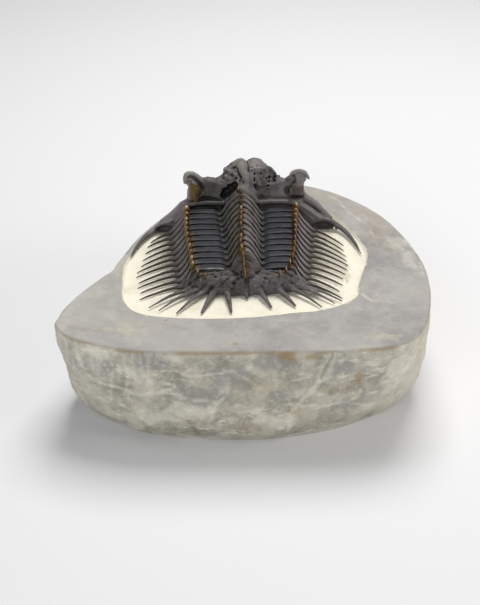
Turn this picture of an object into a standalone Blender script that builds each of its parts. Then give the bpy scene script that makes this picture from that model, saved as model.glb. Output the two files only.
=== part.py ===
"""A spiny trilobite fossil, prepared free on the carved limestone slab that it was found in.

The slab stands on its flat base. A shallow dish is cut into its top, and the animal lies in the dish
with its head away from the viewer: a head shield, a thorax of overlapping plates and a tail shield.
All lengths below are millimetres; MM turns them into metres where a mesh is made.
Frame: +Z up, +Y towards the head, +X to the animal's right, origin at the centre of the base.
"""

import math

import bmesh
import bpy
import numpy as np
from mathutils import Matrix, Vector, noise

MM = 0.001
TO_ORIGIN = (0.35, 0.21, 0)  # brings the middle of the chipped block's base to the origin
SHARP_ANGLE = math.radians(35)

# Slab
THICKNESS = 31.0
DISH_DEPTH = 1.0
DISH_RIM = 0.9
AROUND = 56
TOP_OUTLINE = (
    (-49.5, -39), (-46.5, -44.5), (-40.5, -47.5), (-22, -48.8), (5.5, -49), (20.5, -48.5), (31.5, -46.5),
    (39.5, -43), (45.5, -36), (49.2, -27), (50.2, -17), (49.8, -5), (47.2, 9), (43, 22), (36.5, 32),
    (28.5, 39.5), (19, 45), (5.5, 49), (-8.5, 46.5), (-19, 37.5), (-26.8, 25.8), (-32.8, 11.2),
    (-37, -2), (-39.4, -8), (-42.5, -13.2), (-46.8, -20.5), (-50.2, -28), (-51, -34),
)
LOW_OUTLINE = (
    (-47.5, -37), (-41, -43.5), (-30, -46.6), (-14, -48), (5, -48.2), (24, -46), (36, -41.5), (45, -32),
    (48.5, -16), (48, 3), (43.5, 18), (36, 29.5), (26, 38), (14, 43), (2, 45.5), (-9, 43), (-19, 33),
    (-27, 19), (-35, 2), (-41, -12), (-47.5, -26),
)
BASE_SHARE = 0.93
# The chipped wall from low to high: share of the top outline, height, roughness
WALL_RINGS = ((0.0, 5.0, 1.2), (0.45, 12.4, 1.8), (0.8, 22.3, 1.4), (1.0, 29.7, 0.7))
CHIP_SCALE = 3.0
CHIP_RISE = 0.15
TOP_BEVEL = 0.8
DISH_OUTLINE = (
    (1, -32.2), (12, -31), (22.5, -29), (28.5, -25), (31.2, -19), (32.6, -11), (34.4, -4), (34.8, 4),
    (33, 13), (28.8, 20.5), (22.5, 27.5), (15.5, 32.6), (7, 36.5), (-2, 37.8), (-12, 36), (-20.5, 30.5),
    (-26, 22), (-31.3, 11), (-34.6, 1.6), (-35.6, -6), (-35.8, -14), (-34.8, -21), (-31, -27), (-24, -30.5),
    (-12, -32.2),
)

# Animal: its own frame has y = 0 near the tail's rear edge and z = 0 on the dish floor
FLOOR = THICKNESS - DISH_DEPTH
GAP = 0.3
ANIMAL_X = -1.5
ANIMAL_Y = -25.0
ANIMAL_TURN = math.radians(2.5)
SEGMENTS = 11
PITCH = 2.95
FIRST_SEGMENT_Y = 41.0
LAST_SEGMENT_Y = FIRST_SEGMENT_Y - PITCH * (SEGMENTS - 1)

RIGHT = 1
LEFT = -1

# Thorax sizes at the first plate and at the last one. It was pressed a little out of true, so sides differ
AXIS_HALF = (6.1, 4.4)
AXIS_TOP = (12.4, 10.6)
AXIS_ARCH = (1.5, 1.3)
PLEURA_TOP = (7.4, 5.8)
FULCRUM_HALF = {RIGHT: (16.2, 12.9), LEFT: (16.2, 14.3)}
FLANK_HALF = {RIGHT: (21.6, 16.8), LEFT: (21.4, 18.2)}
FLANK_SWEEP = (2.0, 2.7)
TIP_HALF = {RIGHT: (30.0, 26.4), LEFT: (28.0, 29.4)}
SPINE_TIP_SWEEP = (10.8, 9.4)
FLANK_TOP = 1.9
# The side spine past the flank: share of the way out, of the flank's and the tip's sweep, top, half width
SIDE_SPINE = ((0.4, 0.65, 0.28, 1.3, 0.52), (0.8, 0.2, 0.68, 0.95, 0.34), (1.0, 0.0, 1.0, 0.6, 0.14))
# Across a plate from its front edge to its rear edge: share of its half length, and drop from its top
PLATE_PROFILE = ((1.0, 1.0), (0.15, 0.0), (-0.72, 0.12), (-1.0, 0.6))
UPRIGHT_LENGTH = 3.6
UPRIGHT_RADIUS = 0.72
UPRIGHT_LEAN = math.radians(24)
UPRIGHT_ROOT = 1.2

# Tail shield
TAIL_FRONT_Y = LAST_SEGMENT_Y - PITCH / 2 - 0.1
TAIL_REAR_Y = 4.7
TAIL_MARGIN_TOP = 1.8
TAIL_COLUMNS = 10
TAIL_RIB = 0.28
TAIL_AXIS_LENGTH = 3.0
TAIL_SPINES = (
    ((15.6, 6.8), (25.6, 0.1)), ((14.6, 6.3), (23.5, -0.9)), ((12.2, 5.8), (19.8, -2.6)),
    ((8.8, 5.2), (12.7, -1.6)), ((3.4, 4.9), (6.2, -2.1)), ((-0.7, 4.9), (0.0, 2.6)),
    ((-15.6, 6.6), (-26.7, -1.0)), ((-13.8, 6.0), (-24.0, -2.5)), ((-11.4, 5.6), (-19.2, -4.0)),
    ((-8.9, 5.2), (-12.5, -3.8)), ((-5.4, 4.9), (-4.6, -4.0)),
)
TAIL_SPINE_ROOT_Z = 1.5
TAIL_SPINE_TIP_Z = 0.72
# Standing spines of the tail: share of the way round it from its front edge, and length
TAIL_CREST_UPRIGHTS = ((0.12, 3.0), (0.45, 2.5), (0.8, 2.0))
TAIL_SIDE_UPRIGHTS = ((0.12, 2.8), (0.36, 2.2))
TAIL_UPRIGHT_RADIUS = 0.8 * UPRIGHT_RADIUS

# Head shield: places are across, along from its rear edge, and above the dish floor
HEAD_REAR_Y = FIRST_SEGMENT_Y + PITCH / 2 + 0.25
HEAD_OUTLINE = (
    (0, 1.6), (3.5, 1.3), (6.5, 0.2), (13, 0), (22.5, 0.4), (24, 3.4), (22, 8.2), (17.4, 12.8), (11, 16.0),
    (0, 17.6), (-11, 16.2), (-17.4, 12.8), (-21.4, 8.2), (-22.9, 3.6), (-21.4, 0.4), (-13, 0), (-6.5, 0.2),
    (-3.5, 1.3),
)
# Contours of the cheeks: scale of the outline, height, and how far forward
DOME_RINGS = (
    (0.985, GAP, 0), (1.0, 1.2, 0), (0.96, 2.9, 0.05), (0.88, 5.0, 0.1), (0.73, 7.2, 0.3), (0.52, 8.5, 0.9),
    (0.3, 9.0, 1.4),
)
GLABELLA_SHIFT = 2.2
GLABELLA_FOOT = 3.0
# Sections of the glabella: along, half width, top
GLABELLA_RINGS = (
    (2.0, 4.4, 11.4), (3.0, 5.2, 13.0), (4.4, 5.5, 14.8), (6.0, 6.6, 16.9), (8.2, 7.7, 18.1),
    (10.8, 8.3, 17.9), (13.4, 8.0, 15.9), (15.6, 6.6, 12.4), (17.2, 4.6, 8.8), (18.0, 2.4, 6.4),
)
GLABELLA_SIDES = 14
# Lobes beside the glabella's narrow rear part: across, along, height, size
LOBES = ((4.9, 2.4, 9.8, 1.4), (5.5, 4.5, 11.0, 1.6), (6.2, 6.7, 12.4, 1.8))
# Rows of warts: along, top and half width of the glabella there
WART_ROWS = ((6.8, 17.0, 6.7), (9.6, 17.9, 7.8), (12.4, 16.6, 8.0), (15.0, 13.4, 6.8))
WART_TURNS = (22, 46, 70, 110, 134, 158)
WART_STAGGER = 6
WART_SIZE = 0.95
NECK_SPINE_LENGTH = 2.4
NECK_SPINE_RADIUS = 0.95

# Eyes: across, along and top of each. Its rings give height, reach outwards and half length
EYES = {RIGHT: (17.3, 4.0, 16.5), LEFT: (-13.8, 4.0, 16.1)}
EYE_FOOT_RINGS = ((5.6, 3.1, 2.7), (8.5, 2.9, 2.55))
EYE_NECK_RINGS = ((-3.6, 2.75, 2.3), (-2.4, 2.9, 2.35))
BROW_RINGS = ((-2.6, 2.5, 2.2), (-1.9, 3.5, 2.9), (-0.8, 3.3, 2.7), (0, 2.2, 1.9))
EYE_SIDES = 10
EYE_LENGTHEN = 1.25

# Spines that sweep back from the corners of the cheeks, in the animal's frame
GENAL_SPINES = {
    RIGHT: (
        (20.0, 48.0, 2.2), (25.2, 45.2, 2.1), (30.8, 38.0, 1.7), (33.2, 31.3, 1.3), (34.3, 24.3, 0.8),
    ),
    LEFT: (
        (-20.0, 49.0, 2.4), (-24.4, 44.2, 2.1), (-28.4, 36.2, 1.7), (-30.9, 30.8, 1.3), (-32.6, 25.3, 0.8),
    ),
}
CHEEK_HOOK = ((19.0, 44.6, 4.2), (23.4, 43.8, 3.7), (26.4, 41.6, 2.5), (27.0, 39.4, 0.95))


def share_between(pair, y):
    """The value at y on the thorax, between its first and last plate."""
    share = (FIRST_SEGMENT_Y - y) / (FIRST_SEGMENT_Y - LAST_SEGMENT_Y)
    return pair[0] + (pair[1] - pair[0]) * share


def smooth_line(points, steps, closed=False):
    """A Catmull-Rom curve through the points."""
    points = [np.array(p, float) for p in points]
    if closed:
        points = [points[-1], *points, points[0], points[1]]
    else:
        points = [2 * points[0] - points[1], *points, 2 * points[-1] - points[-2]]
    line = []
    for a, b, c, d in zip(points, points[1:], points[2:], points[3:]):
        for t in np.arange(steps) / steps:
            curve = (c - a) * t + (2 * a - 5 * b + 4 * c - d) * t**2 + (3 * b - a - 3 * c + d) * t**3
            line.append(b + curve / 2)
    if not closed:
        line.append(points[-2])
    return line


def radii(outline, angles):
    """The outline's distance from the origin at each angle."""
    x, y = np.array(smooth_line(outline, 12, closed=True)).T
    return np.interp(angles, np.arctan2(y, x), np.hypot(x, y), period=math.tau)


def make_mesh(points, faces):
    """A closed bmesh, in millimetres, with its faces turned outwards."""
    made = bmesh.new()
    verts = [made.verts.new(Vector(p)) for p in points]
    for face in faces:
        made.faces.new([verts[i] for i in face])
    bmesh.ops.remove_doubles(made, verts=made.verts, dist=0.001)
    bmesh.ops.recalc_face_normals(made, faces=made.faces)
    return made


def loft(rings):
    """A closed solid through rings of equally many points, with a flat cap at each end."""
    count = len(rings[0])
    points = [p for ring in rings for p in ring]
    faces = [tuple(reversed(range(count))), tuple(range(len(points) - count, len(points)))]
    for start in range(0, len(points) - count, count):
        for i in range(count):
            j = (i + 1) % count
            faces.append((start + i, start + j, start + j + count, start + i + count))
    return make_mesh(points, faces)


def tube(path, sizes, sides=6, flat=1.0):
    """A tapering spine along the path; flat squeezes its height."""
    rings = []
    path = [Vector(p) for p in path]
    for i, (place, size) in enumerate(zip(path, sizes)):
        ahead = (path[min(i + 1, len(path) - 1)] - path[max(i - 1, 0)]).normalized()
        reference = Vector((0, 0, 1)) if abs(ahead.z) < 0.8 else Vector((0, 1, 0))
        side = ahead.cross(reference).normalized()
        rise = side.cross(ahead)
        ring = []
        for k in range(sides):
            turn = math.tau * (k + 0.5) / sides
            ring.append(place + side * (size * math.cos(turn)) + rise * (size * flat * math.sin(turn)))
        rings.append(ring)
    return loft(rings)


def ball(centre, size, detail=2):
    """An ellipsoid of flat faces, for a lobe or a tubercle."""
    made = bmesh.new()
    bmesh.ops.create_icosphere(made, subdivisions=detail, radius=1.0)
    stretch = Matrix.Translation(centre) @ Matrix.Diagonal((*size, 1))
    bmesh.ops.transform(made, matrix=stretch, verts=made.verts)
    return made


def material(name, colour, roughness):
    """A Principled material with the real surface's colour and roughness."""
    found = bpy.data.materials.get(name)
    if found:
        return found
    made = bpy.data.materials.new(name)
    made.use_nodes = True
    shader = made.node_tree.nodes["Principled BSDF"]
    shader.inputs["Base Color"].default_value = (*colour, 1)
    shader.inputs["Roughness"].default_value = roughness
    shader.inputs["Metallic"].default_value = 0.0
    return made


def shell_material():
    return material("grey_calcite", (0.085, 0.082, 0.088), 0.5)


def stone_material():
    return material("limestone", (0.45, 0.44, 0.41), 0.8)


def place_in_row(made):
    """Moves a mesh from the animal's frame to its place on the slab."""
    turn = Matrix.Rotation(ANIMAL_TURN, 4, "Z")
    centre = Vector((0, 25, 0))
    to_slab = Matrix.Translation((ANIMAL_X, ANIMAL_Y, FLOOR))
    move = to_slab @ Matrix.Translation(centre) @ turn @ Matrix.Translation(-centre)
    bmesh.ops.transform(made, matrix=move, verts=made.verts)


def add_object(name, made, finish, helper=False):
    """Puts a millimetre mesh in the scene as an object in metres."""
    bmesh.ops.transform(made, matrix=Matrix.Scale(MM, 4) @ Matrix.Translation(TO_ORIGIN), verts=made.verts)
    mesh = bpy.data.meshes.new(name)
    made.to_mesh(mesh)
    made.free()
    mesh.shade_smooth()
    mesh.set_sharp_from_angle(angle=SHARP_ANGLE)
    mesh.materials.append(finish)
    obj = bpy.data.objects.new(name, mesh)
    bpy.context.scene.collection.objects.link(obj)
    if helper:
        obj.hide_render = True
        obj.display_type = "WIRE"
    return obj


def join(shapes):
    """Several closed meshes in one bmesh, not yet fused."""
    whole = bmesh.new()
    for shape in shapes:
        part = bpy.data.meshes.new("part")
        shape.to_mesh(part)
        shape.free()
        whole.from_mesh(part)
        bpy.data.meshes.remove(part)
    return whole


def fused_object(name, body, additions, finish):
    """One solid: the body with everything that grows from it."""
    extra = join(additions)
    for made in (body, extra):
        place_in_row(made)
    obj = add_object(name, body, finish)
    grown = add_object(name + "_growths", extra, finish, helper=True)
    union = obj.modifiers.new("grown_together", "BOOLEAN")
    union.operation = "UNION"
    union.solver = "EXACT"
    union.use_self = True
    union.object = grown
    return obj


def make_slab():
    """The limestone block, from its flat base up the chipped wall and down into the dish."""
    angles = np.linspace(-math.pi, math.pi, AROUND, endpoint=False)
    top = radii(TOP_OUTLINE, angles)
    low = radii(LOW_OUTLINE, angles)
    dish = radii(DISH_OUTLINE, angles)

    def ring(distance, height, rough=0):
        points = []
        for angle, r in zip(angles, distance):
            across, along = math.cos(angle), math.sin(angle)
            place = Vector((CHIP_SCALE * across, CHIP_SCALE * along, CHIP_RISE * height))
            chip = rough * noise.noise(place)
            points.append(((r + chip) * across, (r + chip) * along, height))
        return points

    rings = [ring(low * BASE_SHARE, 0)]
    rings += [ring(low + (top - low) * share, height, rough) for share, height, rough in WALL_RINGS]
    rings += [ring(top - TOP_BEVEL, THICKNESS), ring(dish, THICKNESS), ring(dish - DISH_RIM, FLOOR)]
    add_object("matrix_slab", loft(rings), stone_material())


def plate_stations(y, side):
    """One side of a thorax plate, midline outwards: (x, y, top, half length)."""
    axis, top, arch = (share_between(v, y) for v in (AXIS_HALF, AXIS_TOP, AXIS_ARCH))
    pleura, sweep, tip_sweep = (share_between(v, y) for v in (PLEURA_TOP, FLANK_SWEEP, SPINE_TIP_SWEEP))
    fulcrum, flank, tip = (share_between(v[side], y) for v in (FULCRUM_HALF, FLANK_HALF, TIP_HALF))
    half = (PITCH - GAP) / 2
    stations = [
        (0.0, y + arch, top, half),
        (axis * 0.42, y + arch * 0.8, top - 0.6, half),
        (axis * 0.8, y + arch * 0.3, top - 2.6, half),
        (axis, y, pleura - 0.7, half),
        (axis + 1.1, y - 0.1, pleura - 0.1, half),
        (fulcrum - 1.0, y - 0.2, pleura, half),
        (fulcrum + 0.5, y - 0.4, pleura - 0.3, half),
        (fulcrum * 0.55 + flank * 0.45, y - sweep * 0.5, pleura * 0.62, half * 0.94),
        (flank, y - sweep, FLANK_TOP, half * 0.62),
    ]
    for out, flank_share, tip_share, spine_top, spine_half in SIDE_SPINE:
        back = sweep * flank_share + tip_sweep * tip_share
        stations.append((flank + (tip - flank) * out, y - back, spine_top, spine_half))
    return stations


def plate_section(station, side):
    """The plate's outline across its length at one station, from its front foot to its rear foot."""
    x, y, top, half = station
    drop = min(1.0, (top - GAP) / 3)
    ring = [(side * x, y + half, GAP)]
    ring += [(side * x, y + half * along, top - down * drop) for along, down in PLATE_PROFILE]
    ring.append((side * x, y - half, GAP))
    return ring


def upright_spine(x, y, foot, length, radius):
    """A standing spine that leans towards the tail."""
    lean = Vector((0, -math.sin(UPRIGHT_LEAN), math.cos(UPRIGHT_LEAN)))
    base = Vector((x, y, foot)) - lean * UPRIGHT_ROOT
    reach = (0, UPRIGHT_ROOT + length * 0.45, UPRIGHT_ROOT + length)
    return tube([base + lean * r for r in reach], (radius * 1.15, radius * 0.8, radius * 0.22), 5)


def make_thorax():
    """Eleven overlapping plates, each with its two side spines and three standing spines."""
    for number in range(SEGMENTS):
        y = FIRST_SEGMENT_Y - PITCH * number
        right, left = plate_stations(y, RIGHT), plate_stations(y, LEFT)
        sections = [plate_section(s, LEFT) for s in reversed(left)]
        sections += [plate_section(s, RIGHT) for s in right[1:]]
        pleura = share_between(PLEURA_TOP, y)
        crest_y, crest_z = right[0][1:3]
        uprights = [upright_spine(0, crest_y - 0.35, crest_z, UPRIGHT_LENGTH, UPRIGHT_RADIUS)]
        for side in (LEFT, RIGHT):
            x = side * share_between(FULCRUM_HALF[side], y)
            uprights.append(upright_spine(x, y - 0.5, pleura, UPRIGHT_LENGTH, UPRIGHT_RADIUS))
        fused_object(f"thorax_plate_{number + 1:02d}", loft(sections), uprights, shell_material())


def tail_column(share, side):
    """One side of the tail shield along one rib, midline outwards."""
    turn = share * math.pi / 2
    crest_y = TAIL_FRONT_Y - TAIL_AXIS_LENGTH * share
    axis = AXIS_HALF[1] * (1 - share) ** 0.8
    depth = TAIL_FRONT_Y - TAIL_REAR_Y
    fulcrum_x = (FULCRUM_HALF[side][1] - 0.4) * math.cos(turn) ** 0.7
    fulcrum_y = TAIL_FRONT_Y - 0.3 - (depth - 1.4) * math.sin(turn) ** 0.9
    margin_x = (FLANK_HALF[side][1] - 0.3) * math.cos(turn) ** 0.5
    margin_y = TAIL_FRONT_Y - 2.3 - (depth - 2.3) * math.sin(turn) ** 0.7
    crest_z = AXIS_TOP[1] - 0.3 - 5.0 * share**1.1
    furrow_z = PLEURA_TOP[1] - 0.7 - 1.5 * share
    fulcrum_z = PLEURA_TOP[1] - 0.2 - 2.4 * math.sin(turn)
    return [
        (0, crest_y, crest_z),
        (side * axis * 0.6, crest_y - 0.5 * share, crest_z - 0.28 * (crest_z - furrow_z)),
        (side * axis, crest_y - 0.9 - 0.1 * share, furrow_z),
        (side * fulcrum_x, fulcrum_y, fulcrum_z),
        (side * margin_x, margin_y, TAIL_MARGIN_TOP),
    ]


def tail_body():
    """The tail shield without its spines: its ribbed top, and the same grid again just over the dish."""
    columns = []
    for j in range(TAIL_COLUMNS + 1):
        right, left = (tail_column(j / TAIL_COLUMNS, side) for side in (RIGHT, LEFT))
        column = left[:0:-1] + right
        rib = 0.0 if j in (0, TAIL_COLUMNS) else TAIL_RIB * (-1) ** (j + 1)
        columns.append([(x, y, z if abs(k - 4) < 2 else z + rib) for k, (x, y, z) in enumerate(column)])
    rows = len(columns[0])
    points = [p for column in columns for p in column]
    total = len(points)
    faces = [(k, k + 1, total + k + 1, total + k) for k in range(rows - 1)]
    for start in range(0, total - rows, rows):
        for a in range(start, start + rows - 1):
            quad = (a, a + 1, a + 1 + rows, a + rows)
            faces += [quad, tuple(total + i for i in reversed(quad))]
        for a in (start, start + rows - 1):
            faces.append((a, a + rows, total + a + rows, total + a))
    return make_mesh(points + [(x, y, GAP) for x, y, z in points], faces)


def tail_spine(root, tip):
    """A spine of the tail's edge, nearly flat on the dish."""
    root = Vector((*root, TAIL_SPINE_ROOT_Z))
    tip = Vector((*tip, TAIL_SPINE_TIP_Z))
    inner = root + (root - tip).normalized() * 1.2 + Vector((0, 0, 0.3))
    bend = (root + tip) / 2 + Vector((0.05 * tip.x, 0.6, 0.12))
    return tube((inner, root, bend, tip), (1.1, 0.95, 0.62, 0.22), flat=0.75)


def make_tail():
    """The tail shield: a tapering axis, ribs fanning back and a spiny edge."""
    growths = [tail_spine(root, tip) for root, tip in TAIL_SPINES]
    for share, length in TAIL_CREST_UPRIGHTS:
        crest = tail_column(share, RIGHT)[0]
        growths.append(upright_spine(*crest, length, TAIL_UPRIGHT_RADIUS))
    for share, length in TAIL_SIDE_UPRIGHTS:
        for side in (LEFT, RIGHT):
            fulcrum = tail_column(share, side)[3]
            growths.append(upright_spine(*fulcrum, length, TAIL_UPRIGHT_RADIUS))
    fused_object("tail_shield", tail_body(), growths, shell_material())


def head_dome():
    """The cheeks: contour rings that keep the straight rear edge and climb to the eyes."""
    outline = smooth_line(HEAD_OUTLINE, 2, closed=True)
    rings = []
    for scale, height, forward in DOME_RINGS:
        rings.append([(x * scale, HEAD_REAR_Y + forward + y * scale, height) for x, y in outline])
    return loft(rings)


def glabella():
    """The swollen middle of the head, narrow behind and wide in front."""
    rings = []
    for along, half, top in GLABELLA_RINGS:
        middle = (top + GLABELLA_FOOT) / 2
        shift = GLABELLA_SHIFT * min(1.0, along / 6)
        ring = []
        for k in range(GLABELLA_SIDES):
            turn = math.tau * k / GLABELLA_SIDES
            z = middle + (top - middle) * math.sin(turn)
            ring.append((shift + half * math.cos(turn), HEAD_REAR_Y + along, z))
        rings.append(ring)
    return loft(rings)


def side_lobes(side):
    """The small lobes between the glabella's furrows, and the end of the neck ring."""
    lobes = []
    for x, along, z, size in LOBES:
        place = (side * x + GLABELLA_SHIFT * along / 6, HEAD_REAR_Y + along, z)
        lobes.append(ball(place, (size * 1.15, size * 0.72, size)))
    return lobes


def neck_ring():
    """The ring that joins head and thorax, arched over the axis."""
    path = []
    for k in range(9):
        turn = math.pi * k / 8
        y = HEAD_REAR_Y + 1.3 + 1.4 * math.sin(turn)
        path.append((6.0 * math.cos(turn), y, 7.4 + 5.2 * math.sin(turn)))
    return tube(path, [1.0] * len(path))


def tubercles():
    """Warts over the crown and flanks of the glabella."""
    warts = []
    for row, (along, top, half) in enumerate(WART_ROWS):
        rise = (top - GLABELLA_FOOT) / 2
        for turn in WART_TURNS:
            lean = math.radians(turn + WART_STAGGER * (row % 2))
            x = GLABELLA_SHIFT + half * math.cos(lean)
            place = (x, HEAD_REAR_Y + along, top - rise + rise * math.sin(lean))
            warts.append(ball(place, (WART_SIZE, WART_SIZE, WART_SIZE), detail=1))
    return warts


def eye_ring(centre, side, height, reach, width, inner, shift=0.0):
    """One level of an eye: it reaches further outwards than towards the glabella."""
    x, y = centre
    ring = []
    for k in range(EYE_SIDES):
        across = math.cos(math.tau * k / EYE_SIDES)
        along = math.sin(math.tau * k / EYE_SIDES)
        out = reach * across * (1 if across > 0 else inner) - shift
        ring.append((x + side * out, y + width * along * EYE_LENGTHEN, height))
    return ring


def eye(side):
    """A tall eye: a curved tower of lenses under an overhanging brow that runs back to the glabella."""
    x, along, top = EYES[side]
    y = HEAD_REAR_Y + along
    levels = [*EYE_FOOT_RINGS, *((top + z, reach, width) for z, reach, width in EYE_NECK_RINGS)]
    tower = [eye_ring((x, y), side, *level, 0.6) for level in levels]
    brow = [eye_ring((x, y), side, top + z, reach, width, 0.7, 0.2) for z, reach, width in BROW_RINGS]
    slope = []
    for across, foot, crest, back, front, upper_back, upper_front in (
        (side * 5.0, 7.0, 11.4, 2.4, 3.0, 0.2, 2.4),
        (side * 9.0, 6.6, 12.0, 3.0, 3.2, 0.3, 1.9),
        (x, 6.2, top - 1.1, 3.0, 3.4, 1.6, 2.2),
    ):
        slope.append([
            (across, y - back, foot), (across, y + front, foot),
            (across, y + upper_front, crest), (across, y - upper_back, crest),
        ])
    return [loft(tower), loft(brow), loft(slope)]


def genal_spine(side):
    """The long spine that sweeps back from the corner of the cheek."""
    path = smooth_line(GENAL_SPINES[side], 2)
    sizes = np.interp(np.linspace(0, 1, len(path)), (0, 0.35, 1), (1.9, 1.45, 0.2))
    return tube(path, sizes, flat=0.75)


def cheek_hook(side):
    """The thin lip of the cheek's rear corner, curling down beside the genal spine."""
    path = smooth_line(CHEEK_HOOK, 2)
    return tube([(side * x, y, z) for x, y, z in path], np.linspace(0.95, 0.4, len(path)))


def make_head():
    """The head shield with its glabella, warts, eyes, corner spines and neck spine."""
    neck_spine = upright_spine(0, HEAD_REAR_Y + 2.8, 12.6, NECK_SPINE_LENGTH, NECK_SPINE_RADIUS)
    growths = [glabella(), neck_ring(), neck_spine, *tubercles()]
    for side in (RIGHT, LEFT):
        growths += [*side_lobes(side), *eye(side), cheek_hook(side), genal_spine(side)]
    fused_object("head_shield", head_dome(), growths, shell_material())


def main():
    """Clears the scene and builds the slab and the animal."""
    for obj in list(bpy.data.objects):
        bpy.data.objects.remove(obj)
    make_slab()
    make_head()
    make_thorax()
    make_tail()


main()
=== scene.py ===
# %% [markdown]
# # A spiny trilobite on its stone
# This fossil is a sea animal about 390 million years old. A preparator has cut the limestone away from it
# with tiny air tools, so that the whole animal stands free in a pale, shallow dish, spines and all. The
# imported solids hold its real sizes. This lesson builds the fine surface over them: first the stone, then the
# head, the eleven plates of the thorax, the tail, and the honey coloured spines that stand along its back.

import math

import bpy
import numpy as np
import openvdb
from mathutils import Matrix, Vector, noise


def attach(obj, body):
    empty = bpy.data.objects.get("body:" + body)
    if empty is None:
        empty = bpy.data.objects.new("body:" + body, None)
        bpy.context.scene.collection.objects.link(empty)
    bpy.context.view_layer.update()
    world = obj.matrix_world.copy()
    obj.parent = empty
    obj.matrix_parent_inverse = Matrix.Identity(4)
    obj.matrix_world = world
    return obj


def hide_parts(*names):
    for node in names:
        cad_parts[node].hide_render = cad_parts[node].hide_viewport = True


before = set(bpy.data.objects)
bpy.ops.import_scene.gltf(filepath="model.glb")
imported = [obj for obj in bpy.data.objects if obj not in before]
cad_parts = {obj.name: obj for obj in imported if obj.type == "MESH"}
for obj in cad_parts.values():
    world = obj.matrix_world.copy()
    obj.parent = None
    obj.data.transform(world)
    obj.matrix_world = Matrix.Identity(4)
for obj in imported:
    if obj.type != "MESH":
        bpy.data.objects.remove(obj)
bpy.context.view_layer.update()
MM = 0.001

# %% [markdown]
# ## The camera
# The picture was taken from behind the tail, looking down by about a third of a right angle with a longish
# lens, so the slab shows its top and its front wall. The camera stands 30 cm from the stone's upper face.

# %% Camera
PICTURE_TALL = 605
LENS_PIXELS = 1111.1
SENSOR = 36.0
LOOK_DOWN = math.radians(33)
LOOK_AT = Vector((-2.15, -24.79, 31.0)) * MM
CAMERA_AWAY = 300 * MM

camera_data = bpy.data.cameras.new("camera")
camera_data.sensor_width = SENSOR
camera_data.lens = LENS_PIXELS / PICTURE_TALL * SENSOR
camera_data.clip_start = 0.01
camera = bpy.data.objects.new("camera", camera_data)
camera.rotation_euler = (math.pi / 2 - LOOK_DOWN, 0, 0)
camera.location = LOOK_AT - Vector((0, math.cos(LOOK_DOWN), -math.sin(LOOK_DOWN))) * CAMERA_AWAY
bpy.context.scene.collection.objects.link(camera)
bpy.context.scene.camera = camera
print("lens in mm:", round(camera_data.lens, 1))

# %% [markdown]
# ## Studio light
# Dark shell only reads as a shape where a broad light glides over it. A large soft panel hangs over the head
# end, so that every ridge gets a bright upper edge and a dark gap below it. A weaker one fills the front, and
# a third warms the right side of the wall.

# %% Light panels, floor and sky
def light_panel(name, place, aim, size, power, colour):
    """A square area light that looks at a point. Lengths are metres and power is watts."""
    panel = bpy.data.lights.new(name, "AREA")
    panel.size = size
    panel.energy = power
    panel.color = colour
    lamp = bpy.data.objects.new(name, panel)
    lamp.location = place
    lamp.rotation_euler = (Vector(aim) - Vector(place)).to_track_quat("-Z", "Y").to_euler()
    bpy.context.scene.collection.objects.link(lamp)
    return lamp


STONE_MIDDLE = (0, 0, 0.03)
light_panel("overhead_panel", (0.06, 0.22, 0.52), STONE_MIDDLE, 0.30, 2.9, (1.0, 0.99, 0.97))
light_panel("front_fill", (-0.22, -0.55, 0.30), STONE_MIDDLE, 0.40, 1.75, (0.96, 0.98, 1.0))
light_panel("right_fill", (0.55, -0.12, 0.22), STONE_MIDDLE, 0.30, 1.3, (1.0, 0.96, 0.90))

sky = bpy.data.worlds.new("studio_air")
sky.use_nodes = True
sky.node_tree.nodes["Background"].inputs["Color"].default_value = (0.80, 0.82, 0.86, 1)
sky.node_tree.nodes["Background"].inputs["Strength"].default_value = 0.27
bpy.context.scene.world = sky
bpy.context.scene.view_settings.view_transform = "Standard"

# %% [markdown]
# ## Helpers for meshes
# The animal is modelled in its own frame, in millimetres: y runs from the tail to the head, x to its right
# side, and z up from the floor of the dish. One function turns such points into metres on the stone. Each
# vertex can also carry masks, numbers from 0 to 1 that the materials read by name.

# %% From the animal's frame to the stone, and from points to a mesh
FOSSIL_TURN = math.radians(2.5)
FOSSIL_CENTRE = np.array((0.0, 25.0, 0.0))
FOSSIL_PLACE = np.array((-1.15, 0.21, 30.0))
FLOOR_Z = FOSSIL_PLACE[2]


def on_stone(points):
    """Fossil millimetres to metres in the shared frame."""
    c, s = math.cos(FOSSIL_TURN), math.sin(FOSSIL_TURN)
    turned = (np.asarray(points, float) - FOSSIL_CENTRE) @ np.array(((c, s, 0), (-s, c, 0), (0, 0, 1)))
    return (turned + FOSSIL_PLACE) * MM


def in_fossil_frame(points):
    """Stone millimetres back to the animal's own frame."""
    c, s = math.cos(FOSSIL_TURN), math.sin(FOSSIL_TURN)
    turn_back = np.array(((c, -s, 0), (s, c, 0), (0, 0, 1)))
    return (np.asarray(points, float) - FOSSIL_PLACE) @ turn_back + FOSSIL_CENTRE


def mesh_piece(name, points, faces, finish, masks=None):
    """A smooth mesh object from points in metres, with its masks and its material."""
    mesh = bpy.data.meshes.new(name)
    mesh.from_pydata(np.asarray(points).tolist(), [], faces)
    mesh.shade_smooth()
    mesh.materials.append(finish)
    for mask, values in (masks or {}).items():
        layer = mesh.attributes.new(mask, "FLOAT", "POINT")
        layer.data.foreach_set("value", np.clip(values, 0, 1).astype(np.float32))
    piece = bpy.data.objects.new(name, mesh)
    bpy.context.scene.collection.objects.link(piece)
    return piece


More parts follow.
